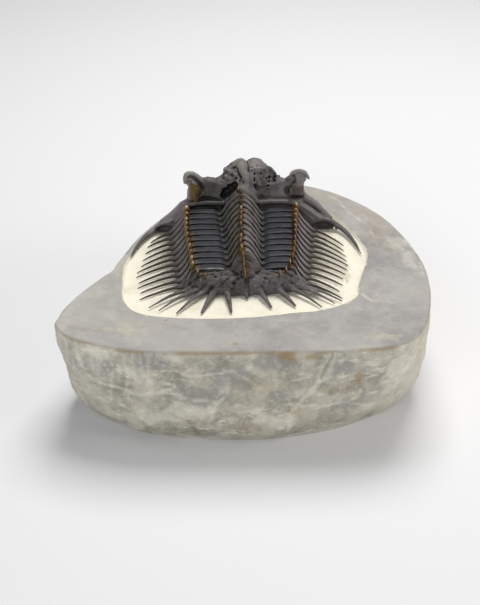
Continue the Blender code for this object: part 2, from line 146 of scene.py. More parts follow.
def smooth_line(points, steps, closed=False):
    """A Catmull-Rom curve through the points, with so many steps between two of them."""
    points = np.array(points, float)
    if closed:
        padded = np.vstack((points[-1:], points, points[:2]))
    else:
        padded = np.vstack((2 * points[:1] - points[1:2], points, 2 * points[-1:] - points[-2:-1]))
    t = (np.arange(steps) / steps)[:, None]
    line = []
    for a, b, c, d in zip(padded, padded[1:], padded[2:], padded[3:]):
        curve = (c - a) * t + (2 * a - 5 * b + 4 * c - d) * t**2 + (3 * b - a - 3 * c + d) * t**3
        line.append(b + curve / 2)
    if not closed:
        line.append(points[-1:])
    return np.vstack(line)


def cloud(points, size, octaves=3, seed=0):
    """Smooth random values, about -1 to 1, in lumps of that size."""
    shift = Vector((11.3, 5.7, 3.1)) * seed
    return np.array([noise.fractal(Vector(p) / size + shift, 1.0, 2.0, octaves) for p in points])


def step(values, start, end):
    """0 before start, 1 after end, and a soft slope between them."""
    t = np.clip((np.asarray(values, float) - start) / (end - start), 0, 1)
    return t * t * (3 - 2 * t)


def fade(values, start, end):
    """1 before start, 0 after end: the other way round."""
    return 1 - step(values, start, end)


# %% [markdown]
# ## Node groups that several finishes share
# A finish is built from a few effects. Each effect is one node group, made once, which a material then uses
# with its own numbers:
# * **clouds** blends two colours in soft patches, as in limestone and calcite.
# * **specks** gives a mask of small scattered grains.
# * **grain** gives the height of a fine, dull surface for a Bump node.

# %% Small helpers to build node trees
def node(tree, kind, settings=None, **inputs):
    """A node with its settings, and its inputs as numbers or as sockets to link."""
    made = tree.nodes.new(kind)
    for key, value in (settings or {}).items():
        setattr(made, key, value)
    for key, value in inputs.items():
        by_number = key[0] == "i" and key[1:].isdigit()
        socket = made.inputs[int(key[1:]) if by_number else key.replace("_", " ")]
        if isinstance(value, bpy.types.NodeSocket):
            tree.links.new(value, socket)
        else:
            socket.default_value = value
    return made


def new_group(name, inputs, outputs):
    """An empty shader group with named sockets, its input node and its output node."""
    tree = bpy.data.node_groups.new(name, "ShaderNodeTree")
    for label, kind, value in inputs:
        socket = tree.interface.new_socket(label, in_out="INPUT", socket_type="NodeSocket" + kind)
        socket.default_value = value
    for label, kind in outputs:
        tree.interface.new_socket(label, in_out="OUTPUT", socket_type="NodeSocket" + kind)
    return tree, tree.nodes.new("NodeGroupInput").outputs, tree.nodes.new("NodeGroupOutput").inputs


def math_node(tree, operation, first, second=0.0, clamp=False):
    """One sum or comparison, and its result."""
    setting = {"operation": operation, "use_clamp": clamp}
    return node(tree, "ShaderNodeMath", setting, i0=first, i1=second).outputs[0]


def ramp(tree, value, low, high, to_low=0.0, to_high=1.0):
    """Spreads a value from low..high over to_low..to_high, with soft ends."""
    return node(tree, "ShaderNodeMapRange", {"interpolation_type": "SMOOTHSTEP"}, Value=value, From_Min=low,
                From_Max=high, To_Min=to_low, To_Max=to_high).outputs[0]


def mix(tree, mask, first, second):
    """The first colour where the mask is 0, and the second where it is 1."""
    made = node(tree, "ShaderNodeMix", {"data_type": "RGBA"})
    for index, value in ((0, mask), (6, first), (7, second)):
        if isinstance(value, bpy.types.NodeSocket):
            tree.links.new(value, made.inputs[index])
        else:
            made.inputs[index].default_value = (*value, 1) if index else value
    return made.outputs[2]


def place_and_scale(tree, given):
    """The point on the piece, and the texture scale that makes lumps of the size in mm."""
    place = node(tree, "ShaderNodeTexCoord").outputs["Object"]
    return place, math_node(tree, "DIVIDE", 1 / MM, given["Size in mm"])


# %% The clouds group
tree, given, result = new_group(
    "clouds",
    (("Size in mm", "Float", 8.0), ("Ragged", "Float", 0.55), ("Balance", "Float", 0.5),
     ("Contrast", "Float", 0.2), ("First", "Color", (0.5, 0.5, 0.5, 1)),
     ("Second", "Color", (0.2, 0.2, 0.2, 1)), ("Seed", "Float", 0.0)),
    (("Color", "Color"), ("Mask", "Float")),
)
place, scale = place_and_scale(tree, given)
lumps = node(tree, "ShaderNodeTexNoise", {"noise_dimensions": "4D"}, Vector=place, W=given["Seed"],
             Scale=scale, Detail=6.0, Roughness=given["Ragged"])
low_end = math_node(tree, "SUBTRACT", given["Balance"], given["Contrast"])
high_end = math_node(tree, "ADD", given["Balance"], given["Contrast"])
spread = ramp(tree, lumps.outputs[0], low_end, high_end)
tree.links.new(mix(tree, spread, given["First"], given["Second"]), result["Color"])
tree.links.new(spread, result["Mask"])

# %% The specks group
tree, given, result = new_group(
    "specks",
    (("Size in mm", "Float", 0.6), ("Amount", "Float", 0.3), ("Seed", "Float", 0.0)),
    (("Mask", "Float"),),
)
place, scale = place_and_scale(tree, given)
cells = node(tree, "ShaderNodeTexVoronoi", {"voronoi_dimensions": "4D"}, Vector=place, W=given["Seed"],
             Scale=scale)
chosen = node(tree, "ShaderNodeSeparateColor", Color=cells.outputs["Color"]).outputs[0]
kept = math_node(tree, "LESS_THAN", chosen, given["Amount"])
near = ramp(tree, cells.outputs["Distance"], 0.8, 0.4)
tree.links.new(math_node(tree, "MULTIPLY", kept, near), result["Mask"])

# %% The grain group
COARSE_TIMES = 5.0
tree, given, result = new_group(
    "grain",
    (("Size in mm", "Float", 0.5), ("Coarse share", "Float", 0.5)),
    (("Height", "Float"),),
)
place, scale = place_and_scale(tree, given)
fine = node(tree, "ShaderNodeTexNoise", Vector=place, Scale=scale, Detail=4.0, Roughness=0.65).outputs[0]
coarse_scale = math_node(tree, "DIVIDE", scale, COARSE_TIMES)
coarse = node(tree, "ShaderNodeTexNoise", Vector=place, Scale=coarse_scale, Detail=3.0).outputs[0]
both = node(tree, "ShaderNodeMix", {"data_type": "FLOAT"}, i0=given["Coarse share"], i2=fine, i3=coarse)
tree.links.new(both.outputs[0], result["Height"])

print("groups:", [g.name for g in bpy.data.node_groups])


# %% Helpers that place a group in a material
def use_group(tree, name, **inputs):
    """One of the groups above inside a material."""
    made = tree.nodes.new("ShaderNodeGroup")
    made.node_tree = bpy.data.node_groups[name]
    for key, value in inputs.items():
        socket = made.inputs[key.replace("_", " ")]
        if isinstance(value, bpy.types.NodeSocket):
            tree.links.new(value, socket)
        elif socket.type == "RGBA":
            socket.default_value = (*value, 1)
        else:
            socket.default_value = value
    return made.outputs


def clouds(tree, size, balance, contrast, seed=0.0, ragged=0.55, colours=None):
    """The clouds group in a material: its mask, or its colour where two colours are given."""
    looks = dict(zip(("First", "Second"), colours or ()))
    made = use_group(tree, "clouds", Size_in_mm=size, Ragged=ragged, Balance=balance, Contrast=contrast,
                     Seed=seed, **looks)
    return made["Color" if colours else "Mask"]


def mask_of(tree, name):
    """A mask that the mesh carries."""
    return node(tree, "ShaderNodeAttribute", {"attribute_name": name}).outputs["Fac"]


def paint(tree, colour, *layers):
    """Lays colours over a first one. A layer is a mask or its name, how much of it counts, and its colour."""
    for mask, share, layer in layers:
        if isinstance(mask, str):
            mask = mask_of(tree, mask)
        if share < 1:
            mask = math_node(tree, "MULTIPLY", mask, share)
        colour = mix(tree, mask, colour, layer)
    return colour


# %% Helpers that start and end a material
def new_finish(name):
    """A material with its node tree and its Principled BSDF."""
    finish = bpy.data.materials.new(name)
    finish.use_nodes = True
    return finish, finish.node_tree, finish.node_tree.nodes["Principled BSDF"]


def end_finish(tree, shader, colour, grain_size, coarse_share, depth_mm):
    """Feeds the colour into the shader, and the grain's height through a Bump node into its Normal."""
    tree.links.new(colour, shader.inputs["Base Color"])
    height = use_group(tree, "grain", Size_in_mm=grain_size, Coarse_share=coarse_share)["Height"]
    bump = node(tree, "ShaderNodeBump", Height=height, Distance=depth_mm * MM, Strength=1.0)
    tree.links.new(bump.outputs[0], shader.inputs["Normal"])


# %% [markdown]
# ## The limestone finish
# The block is one bed of grey marine limestone. Its top was ground flat and looks cloudy, with faint pale
# veins and rusty stains. The wall was only trimmed, so it is lighter, streaked along the bedding and
# blotched. In the dish the air tool has bruised the stone to a cream white powder, and specks of the dark
# rock are left between the spines; against the animal's flanks that dark is also painted shade. All of this
# is one material, because it is one stone: the masks on the mesh say where each look belongs.

# %% Limestone
TOP_GREY = (0.355, 0.338, 0.318)
TOP_DARK = (0.23, 0.222, 0.220)
WALL_LIGHT = (0.49, 0.462, 0.378)
WALL_DARK = (0.27, 0.254, 0.212)
WALL_GREY = (0.285, 0.276, 0.252)
PALE_VEIN = (0.76, 0.73, 0.62)
CREAM = (0.81, 0.765, 0.64)
CREAM_SHADE = (0.69, 0.64, 0.51)
OCHRE = (0.30, 0.20, 0.075)
STAIN = (0.52, 0.47, 0.33)
ROCK_AND_SHADE_GREEN = (0.17, 0.17, 0.13)
HAZE = (0.45, 0.43, 0.39)
CRACK_BROWN = (0.17, 0.135, 0.08)

limestone, tree, shader = new_finish("limestone")
ground = clouds(tree, size=20.0, balance=0.45, contrast=0.14, ragged=0.62, colours=(TOP_DARK, TOP_GREY))
haze = clouds(tree, size=5.0, balance=0.55, contrast=0.12, ragged=0.75, seed=3.0)
wisps = clouds(tree, size=2.4, balance=0.60, contrast=0.05, ragged=0.8, seed=13.0)
top_colour = paint(tree, ground, (haze, 0.45, HAZE), ("stain", 0.4, STAIN), (wisps, 0.35, TOP_DARK))

patches = clouds(tree, size=8.0, balance=0.49, contrast=0.13, ragged=0.70, seed=7.0,
                 colours=(WALL_DARK, WALL_LIGHT))
bedding = node(tree, "ShaderNodeTexCoord").outputs["Object"]
bedding = node(tree, "ShaderNodeMapping", Vector=bedding, Rotation=(0, 0.5, 0),
               Scale=(0.8, 1.0, 2.2)).outputs[0]
streaks = node(tree, "ShaderNodeTexNoise", Vector=bedding, Scale=190.0, Detail=7.0, Roughness=0.7).outputs[0]
streaks = ramp(tree, streaks, 0.53, 0.69, 0.0, 0.75)
powder = clouds(tree, size=1.6, balance=0.60, contrast=0.1, ragged=0.75, seed=11.0)
wall_colour = paint(tree, patches, (streaks, 1, PALE_VEIN), ("grey", 0.8, WALL_GREY),
                    (powder, 0.45, PALE_VEIN))

cream_colour = clouds(tree, size=6.0, balance=0.38, contrast=0.16, seed=5.0, colours=(CREAM_SHADE, CREAM))
rock_specks = use_group(tree, "specks", Size_in_mm=0.5, Amount=0.42, Seed=2.0)["Mask"]
rock_and_shade_cloud = clouds(tree, size=2.6, balance=0.5, contrast=0.12, ragged=0.7, seed=9.0)
# dark rock specks, and nearer the flanks painted shade, by the mesh's mask
rock_and_shade = math_node(tree, "ADD", math_node(tree, "MULTIPLY", rock_specks, 0.9),
                 math_node(tree, "MULTIPLY", rock_and_shade_cloud, 0.35), clamp=True)
rock_and_shade = math_node(tree, "MULTIPLY", rock_and_shade, mask_of(tree, "rock_and_shade"))
stone_colour = paint(tree, top_colour, ("wall", 1, wall_colour), ("pale", 0.55, PALE_VEIN),
                     ("rust", 0.65, OCHRE), ("crack", 0.55, CRACK_BROWN), ("cream", 1, cream_colour),
                     (rock_and_shade, 1, ROCK_AND_SHADE_GREEN))
tree.links.new(ramp(tree, mask_of(tree, "cream"), 0.0, 1.0, 0.62, 0.92), shader.inputs["Roughness"])
shader.inputs["Specular IOR Level"].default_value = 0.35
end_finish(tree, shader, stone_colour, grain_size=0.7, coarse_share=0.55, depth_mm=0.3)
print("limestone nodes:", len(tree.nodes))

# %% [markdown]
# ## The block of limestone
# The slab is a rounded block about 10 cm across. It is easiest to build as rings: each ring follows the
# stone's outline at one level, from the flat base up the trimmed wall, over the edge, across the ground top
# and down into the dish. Noise then moves the points, in large facets on the wall and hardly at all on the
# ground top.

# %% Outlines of the block and the dish
TOP_OUTLINE = (
    (-51.2, -35.2), (-48.9, -39.2), (-45.3, -42), (-40.3, -44.2), (-33.7, -46.4), (-26.7, -47.5),
    (-12.6, -47.8), (8.5, -47.6), (21.4, -47.5), (29.1, -46.5), (35.8, -45.4), (41.5, -42.9), (44.6, -39),
    (47.2, -33), (49.2, -24), (50.1, -16), (49.9, -4), (46.8, 9.8), (42.7, 20.7), (37.7, 29), (32, 35.4),
    (26.6, 40.2), (19, 44.5), (5.5, 48.6), (-8.5, 45.5), (-19.4, 32.2), (-25.5, 24.4), (-32.3, 11.9),
    (-37.3, -2.6), (-38.7, -8.1), (-41.6, -12.4), (-46.3, -20.2), (-49.7, -27.7), (-50.8, -32.3),
)
LOW_OUTLINE = (
    (-48.8, -29.5), (-46.4, -34.6), (-42.8, -38.9), (-37.5, -42.4), (-30.8, -45.4), (-22.5, -47.4),
    (-8, -48.8), (4, -48.6), (13, -47.2), (22.8, -44.6), (31, -41.2), (38.2, -36.9), (44, -31.8),
    (47.2, -26.5), (48.4, -16), (48, 3), (44, 18), (36, 29.5), (26, 38), (14, 43), (2, 45.5), (-9, 43),
    (-19, 33), (-27, 19), (-36, 2), (-43, -12), (-48.4, -24),
)
DISH_OUTLINE = (
    (1, -32.2), (5.5, -31.4), (12.4, -30.1), (17.5, -29.3), (22.6, -27.4), (27.2, -24.5), (30.1, -21),
    (30.6, -16.6), (32.4, -9.2), (34.1, -3), (34.5, 3), (33.1, 10.1), (30.4, 16.8), (27.3, 22.8), (23, 28.5),
    (15.5, 33), (7, 36.5), (-2, 37.8), (-12, 36), (-19, 31), (-24.2, 24), (-29.5, 14), (-33.3, 4.5),
    (-35.3, -3.7), (-35.7, -9), (-35.1, -18.7), (-34.2, -23.8), (-32, -28), (-28.5, -30.6), (-22.3, -32.2),
    (-13.6, -32.9), (-5.1, -32.6),
)
OUTLINE_SHIFT = np.array((0.35, 0.21))
AROUND = 600
angles = np.linspace(-math.pi, math.pi, AROUND, endpoint=False)


def reach(outline):
    """How far the outline is from the middle of the stone, at each angle."""
    x, y = smooth_line(outline, 16, closed=True).T
    return np.interp(angles, np.arctan2(y, x), np.hypot(x, y), period=math.tau)


top_reach, low_reach, dish_reach = reach(TOP_OUTLINE), reach(LOW_OUTLINE), reach(DISH_OUTLINE)
print("block across in mm:", round(float(top_reach.max() * 2), 1))

# %% Rings of the block
THICKNESS = 31.0
WALL_LEVELS, TOP_RINGS, FLOOR_RINGS = 60, 30, 44
EDGE_ROUND = 0.8
DISH_RIM = 0.9
FACET_SIZE = 13.0
# a ring is its reach at each angle, its height, how much it is wall, and how deeply it is chipped
rings = [(low_reach * 0.93 * share, 0.0, 0.0, 0.0) for share in (0.02, 0.35, 0.7, 0.9)]
for level in np.linspace(0.0, THICKNESS - EDGE_ROUND, WALL_LEVELS):
    share_up = np.interp(level, (5, 12.4, 22.3, 29.7), (0, 0.45, 0.8, 1.0))
    reached = low_reach + (top_reach - low_reach) * share_up
    foot = 1 - 0.075 * (1 - min(level / 7.0, 1.0)) ** 1.7
    rings.append((reached * foot, level, 1.0, step(level, 0.0, 3.0) * (1 - 0.75 * step(level, 25.0, 30.0))))
for turn in np.linspace(0.15, 1.0, 5) * math.pi / 2:
    inwards, upwards = EDGE_ROUND * (1 - math.cos(turn)), EDGE_ROUND * math.sin(turn)
    rings.append((top_reach - inwards, THICKNESS - EDGE_ROUND + upwards, 1 - math.sin(turn), 0.1))
for share in (np.arange(TOP_RINGS) + 1) / TOP_RINGS:
    rings.append(((top_reach - EDGE_ROUND) * (1 - share) + dish_reach * share, THICKNESS, 0.0, 0.0))
for share in np.linspace(0.2, 1.0, 5):
    rings.append((dish_reach - DISH_RIM * share, THICKNESS - (1 - math.cos(share * math.pi)) / 2, 0.0, 0.0))
for share in (np.arange(FLOOR_RINGS) + 1) / (FLOOR_RINGS + 1):
    rings.append(((dish_reach - DISH_RIM) * (1 - share), FLOOR_Z, 0.0, 0.0))
print("rings:", len(rings), "quads:", len(rings) * AROUND)

# %% Points and relief of the block
across, height, wall, chipped = (
    np.array([np.broadcast_to(ring[i], AROUND) for ring in rings]) for i in range(4))
points = np.stack((across * np.cos(angles), across * np.sin(angles), height), axis=-1).reshape(-1, 3)
outwards = np.tile(np.stack((np.cos(angles), np.sin(angles), np.zeros(AROUND)), axis=-1), (len(rings), 1))
height, wall, chipped = height.ravel(), wall.ravel(), chipped.ravel()

facets = np.array([noise.voronoi(Vector(p) / FACET_SIZE)[0][0] for p in points])
swells, grit = cloud(points, 18.0, 2, seed=1), cloud(points, 2.5, 3, seed=2)
relief = chipped * (0.7 * swells + 1.0 * (facets - 0.5) + 0.22 * grit)
points += outwards * relief[:, None]
points[:, :2] += OUTLINE_SHIFT
is_top = (points[:, 2] > FLOOR_Z - 0.01) & (wall < 0.5)
points[:, 2] += np.where(is_top, 0.08 * cloud(points, 9.0, 3, seed=4), 0)
fossil_places = in_fossil_frame(points)
distance_in = (dish_reach[None, :] - across).ravel() + 0.25 * cloud(points, 3.0, 4, seed=5)
cream = step(distance_in, 0.0, 0.35) * is_top
print("points:", len(points), "in the dish:", int((cream > 0.5).sum()))

# %% [markdown]
# ## Veins, stains and a crack
# Water left rust along the sharp edge and in an old crack that runs down the front wall, and calcite filled
# thin veins. They could be painted as a picture, but a few measured lines and spots with a ragged edge say
# the same and stay sharp. They lie on the wall, as seen from the front (x, z), or on the top, as seen from
# above (x, y). Each vertex gets a mask from its distance to them, and the crack is cut a little into the wall
# as well.

# %% Lines and spots on the wall, seen from the front
CRACK = ((19.8, 32), (21.7, 30.6), (20.7, 27.1), (18.9, 21.9))
SEALED_CRACK = ((18.9, 21.9), (15.9, 17.5), (12.5, 13.4), (10.9, 10.9), (11, 5.9))
SHORT_CRACK = ((-15.8, 9.2), (-13.3, 4.2))
BRANCHES = (((21.7, 30.6), (26, 27.5), (31, 26.6)), ((18.9, 21.9), (23.5, 22.5), (28.7, 20.6), (34, 21.5)),
            ((12.5, 13.4), (18, 12.0), (25.5, 13.1), (33, 9.5)), ((10.9, 10.9), (4, 13), (-4, 11.4)),
            ((-38, 26), (-35.5, 21), (-36.5, 12)), ((-22, 26.5), (-15, 23), (-4, 24.6), (3, 20)))
PALE_BAND = (
    (-45, 27), (-43.6, 22.3), (-41.6, 19.9), (-37.8, 17.9), (-33.3, 17.5), (-29.5, 16.3), (-24, 17.1),
    (-20.7, 18.3), (-17.3, 16.3), (-14.4, 15.9), (-8.2, 14.6), (-6.3, 16.3),
)
# a spot is x, height, half width and half height
GREY_SPOTS = ((-25.5, 27.5, 6, 5), (-39.3, 23.5, 6, 4), (-11, 17, 9, 3.5), (-5, 23, 8, 5), (5, 27.5, 7, 4),
              (8.5, 16.4, 4, 5), (24, 26, 6, 4), (30, 12, 9, 3))
PALE_SPOTS = ((-38.9, 28.5, 5, 3), (-29.8, 22.5, 6, 3), (-19.4, 29, 3, 2), (13.4, 18, 5, 2.5), (8.6, 9, 7, 3),
              (39, 22, 4, 9), (-15, 12, 9, 2.5), (-24, 9, 8, 3))
RUST_SPOTS = ((10, 29, 2.6, 1.8), (16.5, 29, 3, 1.4), (28.7, 21.3, 1.5, 3.6))
FAINT_RUST = (
    (14, 12, 4.5, 6), (20, 9, 3, 3), (11, 29.3, 4, 2.6), (24, 17.8, 5, 1.8), (4, 20, 8, 5), (-2, 8, 9, 4),
)

# %% Lines and spots on the top, seen from above
RED_SPOTS = ((-3.4, -44.2, 0.9, 0.6), (-21.9, -33.3, 0.8, 0.5))
TOP_STAINS = ((-31, -37.5, 7.5, 3.2), (36, -41, 6, 2.0), (-37.5, -2, 5, 10))
TOP_RUST = ((38, 14, 10, 18), (24, 37, 12, 7), (36, 26, 9, 9), (-30, 5, 6, 12))
TOP_PALE = ((43, 7, 6, 5), (47, -2, 2.5, 6))
SMEARS = (
    ((-47, -36.5), (-42, -38), (-38, -38.4)), ((-24, -34.5), (-19, -36), (-15, -38.5)), ((8, -35), (17, -41)),
    ((31, -27), (36, -14)), ((37, 20), (41, 6), (41.5, -6)), ((22, 34), (30, 28)), ((12, 40), (20, 37)),
)
TOP_VEINS = (
    ((25, 38.5), (28.7, 34.4), (31.2, 26.5), (36, 18.9), (37.7, 11.5), (43.2, 7.9), (45.6, 3.3)),
    ((46.3, 9.1), (48.5, 3.3), (49.6, -1.3), (49.3, -10.1)), ((31.2, -20.5), (33.1, -23.5), (38.4, -24.5)),
)
ROCK_SPOT = ((28.0, -8.5, 2.4, 6.5),)


# %% From a line or a spot to a mask
def near_line(view, line, half_width, ragged=0.5, seed=90):
    """1 on a line and 0 beyond its half width, with a ragged edge."""
    line = np.array(line, float)
    nearest = np.full(len(view), 1e9)
    for a, b in zip(line, line[1:]):
        share = np.clip(((view - a) @ (b - a)) / ((b - a) @ (b - a)), 0, 1)
        nearest = np.minimum(nearest, np.linalg.norm(view - a - share[:, None] * (b - a), axis=1))
    return fade(nearest + ragged * cloud(points, 2.2, 4, seed=seed), half_width * 0.3, half_width)


def near_spots(view, spots, seed, ragged=0.7):
    """1 in the middle of each spot, fading to its ragged edge."""
    mask = np.zeros(len(view))
    for x, y, half_x, half_y in spots:
        away = np.hypot((view[:, 0] - x) / half_x, (view[:, 1] - y) / half_y)
        mask = np.maximum(mask, fade(away + ragged * cloud(points, 3.0, 4, seed=seed), 0.35, 1.0))
    return mask


# %% Masks of the wall
x, y, z = points.T
from_front, from_above = points[:, [0, 2]], points[:, :2]
front = step(-y + 4 * cloud(points, 7.0, 3, seed=109), 14, 26) * (wall > 0.5)
crack = (near_line(from_front, CRACK, 0.6, 0.45) + near_line(from_front, SHORT_CRACK, 0.7, 0.1)) * front
grey = near_spots(from_front, GREY_SPOTS, 94) * front + near_line(from_front, CRACK, 4.0, 1.5) * front * 0.6

pale = 0.7 * near_line(from_front, PALE_BAND, 0.7, 0.8) + 0.7 * near_spots(from_front, PALE_SPOTS, 92)
pale += 0.6 * step(x + 5 * cloud(points, 7.0, 4, seed=101), 27, 40)
pale += 0.3 * step(-x + 5 * cloud(points, 7.0, 4, seed=102), 36, 46)
pale += (0.7 * near_line(from_front, CRACK, 2.2, 1.3, seed=98)
         + 0.75 * near_line(from_front, SEALED_CRACK, 0.8, 0.5))
pale += 0.65 * sum(near_line(from_front, branch, 0.5, 0.5, seed=99) for branch in BRANCHES)
strokes = step(cloud(points * (3.0, 1.0, 0.35), 3.0, 3, seed=110), 0.0, 0.4) * step(z, 16, 21)
pale += 0.5 * strokes * fade(x, -26, -15)
chalky_foot = 0.9 * wall * fade(z + 1.2 * cloud(points, 6, 2, seed=93), 0.5, 3.0)
pale = pale * front + chalky_foot

rust = 0.3 * near_spots(from_front, FAINT_RUST, 95) * step(cloud(points, 1.5, 3, seed=106), -0.8, 0.1)
rust = front * (rust + 0.9 * near_spots(from_front, RUST_SPOTS, 95, ragged=0.25))
print("share of the wall with rust:", round(float((rust > 0.2).sum() / (front > 0.5).sum()), 3))

# %% Masks of the ground top and of its edge
pale += 0.6 * sum(near_line(from_above, vein, 0.33, 0.45) for vein in TOP_VEINS) * is_top
pale += 0.4 * near_spots(from_above, TOP_PALE, 108) * is_top
pale += 0.35 * is_top * fade(x + 4 * cloud(points, 9.0, 3, seed=100), -42, -24)
edge = np.exp(-((height - THICKNESS + EDGE_ROUND * 0.8) / 0.5) ** 2) * (wall > 0.02)
crack += 0.3 * sum(near_line(from_above, smear, 1.3, 1.1, seed=105) for smear in SMEARS) * is_top
crack += 0.7 * edge * (y > 15) * (x > 12)
rust += near_spots(from_above, RED_SPOTS, 104) * is_top
rust += 0.22 * near_spots(from_above, TOP_RUST, 103) * is_top
rust *= fade(distance_in, -1.5, -0.4)
rust += edge * step(cloud(points, 6, 4, seed=96), -0.5, 0.3) * 0.8
stain = near_spots(from_above, TOP_STAINS, 97) * is_top
points -= outwards * (0.2 * np.clip(crack, 0, 1) * front + 0.12 * grey)[:, None]
print("points with a vein:", int((pale * is_top > 0.3).sum()))

# %% [markdown]
# ## Dark rock in the dish
# The air tool couldn't reach everything between the spines, so the dish keeps specks of dark rock there. They
# stand a little proud of the powdery floor. Their mask follows the flanks of the animal, in the animal's own
# frame. It is strongest right against the flanks, where it also stands for painted shade under the body and
# the side spines.

# %% Where dark rock is left between the spines
THORAX_FRONT, THORAX_REAR = 41.0, 11.5
fossil_x, fossil_y, _ = fossil_places.T
side_x = np.abs(fossil_x)
flank_x = np.interp(fossil_y, (THORAX_REAR - 9, THORAX_FRONT - 6), (17.0, 21.5))
tip_x = np.interp(fossil_y, (THORAX_REAR - 12, THORAX_FRONT - 8), (27.0, 30.0))
outward_share = (side_x - flank_x) / (tip_x - flank_x)
# strongest against the flank: dark rock, and painted shade under the body and side spines
rock_and_shade = (1 - 0.45 * step(outward_share, 0.0, 0.6)) * fade(outward_share, 0.8, 1.12)
rock_and_shade *= step(fossil_y, 0.0, 6.0) * cream
rock_and_shade *= 0.40 + 0.55 * cloud(points, 4.0, 2, seed=6)
rock_and_shade = np.maximum(rock_and_shade, 0.6 * near_spots(from_above, ROCK_SPOT, 107) * cream)
points[:, 2] += np.clip(rock_and_shade, 0, 1) * (0.12 + 0.22 * np.clip(cloud(points, 0.9, 2, seed=8), -0.5, 1))

# %% The block's faces, and the piece
faces = []
for k in range(len(rings) - 1):
    start = k * AROUND + np.arange(AROUND)
    after = k * AROUND + (np.arange(AROUND) + 1) % AROUND
    faces += np.stack((start, after, after + AROUND, start + AROUND), axis=-1).tolist()
last = (len(rings) - 1) * AROUND
faces.append(list(range(AROUND - 1, -1, -1)))
faces.append(list(range(last, last + AROUND)))
masks = {"wall": wall, "cream": cream, "rock_and_shade": rock_and_shade, "crack": crack, "pale": pale, "grey": grey, "rust": rust,
         "stain": stain}
slab = mesh_piece("stone_block", points * MM, faces, limestone, masks)
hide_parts("matrix_slab")
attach(slab, "root")
print("stone block:", len(points), "points")

# %% [markdown]
# ## The shell finish
# The shell was calcite in life and is calcite now, stained charcoal by the rock. Between the standing spines
# it is smooth and bluish. On the flanks and cheeks it is a purple brown, and the warty crown is greyer and
# paler. Ridges are painted lighter, partly as wear and partly as painted highlight, and every groove, gap and
# pit is painted dark, as painted shade with some mud. The masks of each mesh say where.

# %% Dark calcite
CHARCOAL_DARK = (0.038, 0.036, 0.034)
CHARCOAL = (0.110, 0.102, 0.095)
BLUE_GREY = (0.031, 0.032, 0.040)
BLUE_DARK = (0.014, 0.015, 0.021)
PURPLE_GREY = (0.185, 0.158, 0.174)
PALE_CALCITE = (0.300, 0.280, 0.250)
# lighter ridges: wear, and painted highlight on lit edges
WEAR_AND_HIGHLIGHT = (0.22, 0.21, 0.20)
# dark grooves, gaps and pits: painted shade, and some mud
MUD_AND_SHADE = (0.010, 0.009, 0.007)
OLIVE = (0.30, 0.29, 0.19)
LENS_GOLD = (0.135, 0.085, 0.026)
RESIN_BROWN = (0.085, 0.055, 0.030)

shell, tree, shader = new_finish("shell_calcite")
charcoal = clouds(tree, size=2.4, balance=0.42, contrast=0.2, ragged=0.65, colours=(CHARCOAL_DARK, CHARCOAL))
blue = clouds(tree, size=3.5, balance=0.4, contrast=0.2, seed=2.0, colours=(BLUE_DARK, BLUE_GREY))
purple = clouds(tree, size=4.0, balance=0.42, contrast=0.15, seed=4.0, colours=(CHARCOAL, PURPLE_GREY))
olive = use_group(tree, "specks", Size_in_mm=0.5, Amount=0.22, Seed=6.0)["Mask"]
olive = math_node(tree, "MULTIPLY", olive, mask_of(tree, "specked"))
# edge paints ridges lighter (wear and painted highlight); hollow paints grooves, gaps and pits dark (painted
# shade and mud)
colour = paint(tree, charcoal, ("blue", 1, blue), ("purple", 1, purple), ("pale", 1, PALE_CALCITE),
               ("edge", 0.4, WEAR_AND_HIGHLIGHT), ("gold", 1, LENS_GOLD), ("brown", 1, RESIN_BROWN), (olive, 1, OLIVE),
               ("hollow", 1, MUD_AND_SHADE))
gloss_cloud = clouds(tree, size=1.6, balance=0.5, contrast=0.25, seed=8.0)
tree.links.new(ramp(tree, gloss_cloud, 0.0, 1.0, 0.38, 0.60), shader.inputs["Roughness"])
shader.inputs["Specular IOR Level"].default_value = 0.22
end_finish(tree, shader, colour, grain_size=0.45, coarse_share=0.5, depth_mm=0.14)
print("shell nodes:", len(tree.nodes))

# %% [markdown]
# ## The amber coloured spines
# The standing spines were cleaned down to clear calcite, which is honey and orange like amber. Light enters
# them and glows inside, so they get a little transmission on the shader itself, a tight gloss, and warm
# patches. Some tips carry a painted glint, and each blade's inner side a painted shade.

# %% Honey calcite
HONEY = (0.26, 0.150, 0.014)
DEEP_ORANGE = (0.115, 0.044, 0.007)
# brown of the feet, also used as painted shade on each blade's inner side
BURNT_AND_SHADE = (0.036, 0.020, 0.010)
# painted glint on some tips
TIP_GLINT = (0.66, 0.52, 0.36)

honey, tree, shader = new_finish("honey_calcite")
warm = clouds(tree, size=1.2, balance=0.50, contrast=0.14, ragged=0.6, colours=(DEEP_ORANGE, HONEY))
colour = paint(tree, warm, ("deep", 1, DEEP_ORANGE), ("foot", 1, BURNT_AND_SHADE), ("tip", 1, TIP_GLINT))
shader.inputs["Roughness"].default_value = 0.46
shader.inputs["IOR"].default_value = 1.6
shader.inputs["Specular IOR Level"].default_value = 0.13
shader.inputs["Transmission Weight"].default_value = 0.1
end_finish(tree, shader, colour, grain_size=0.4, coarse_share=0.4, depth_mm=0.06)
print("honey nodes:", len(tree.nodes))


# %% [markdown]
# ## Strips and tubes
# A plate is a strip: a row of closed sections, joined by faces of four points and closed by one face at each
# end. A spine is a strip too: a tube that tapers along a curved line, with rings that stay square to the
# line.

# %% A strip of sections, and a tapering tube
def strip_faces(sections, ring):
    """Faces of a strip of closed sections, with its two ends."""
    faces = [list(range(ring - 1, -1, -1)), list(range((sections - 1) * ring, sections * ring))]
    for start in range(0, (sections - 1) * ring, ring):
        for k in range(ring):
            after = (k + 1) % ring
            faces.append([start + k, start + after, start + after + ring, start + k + ring])
    return faces


TUBE_SIDES = 12


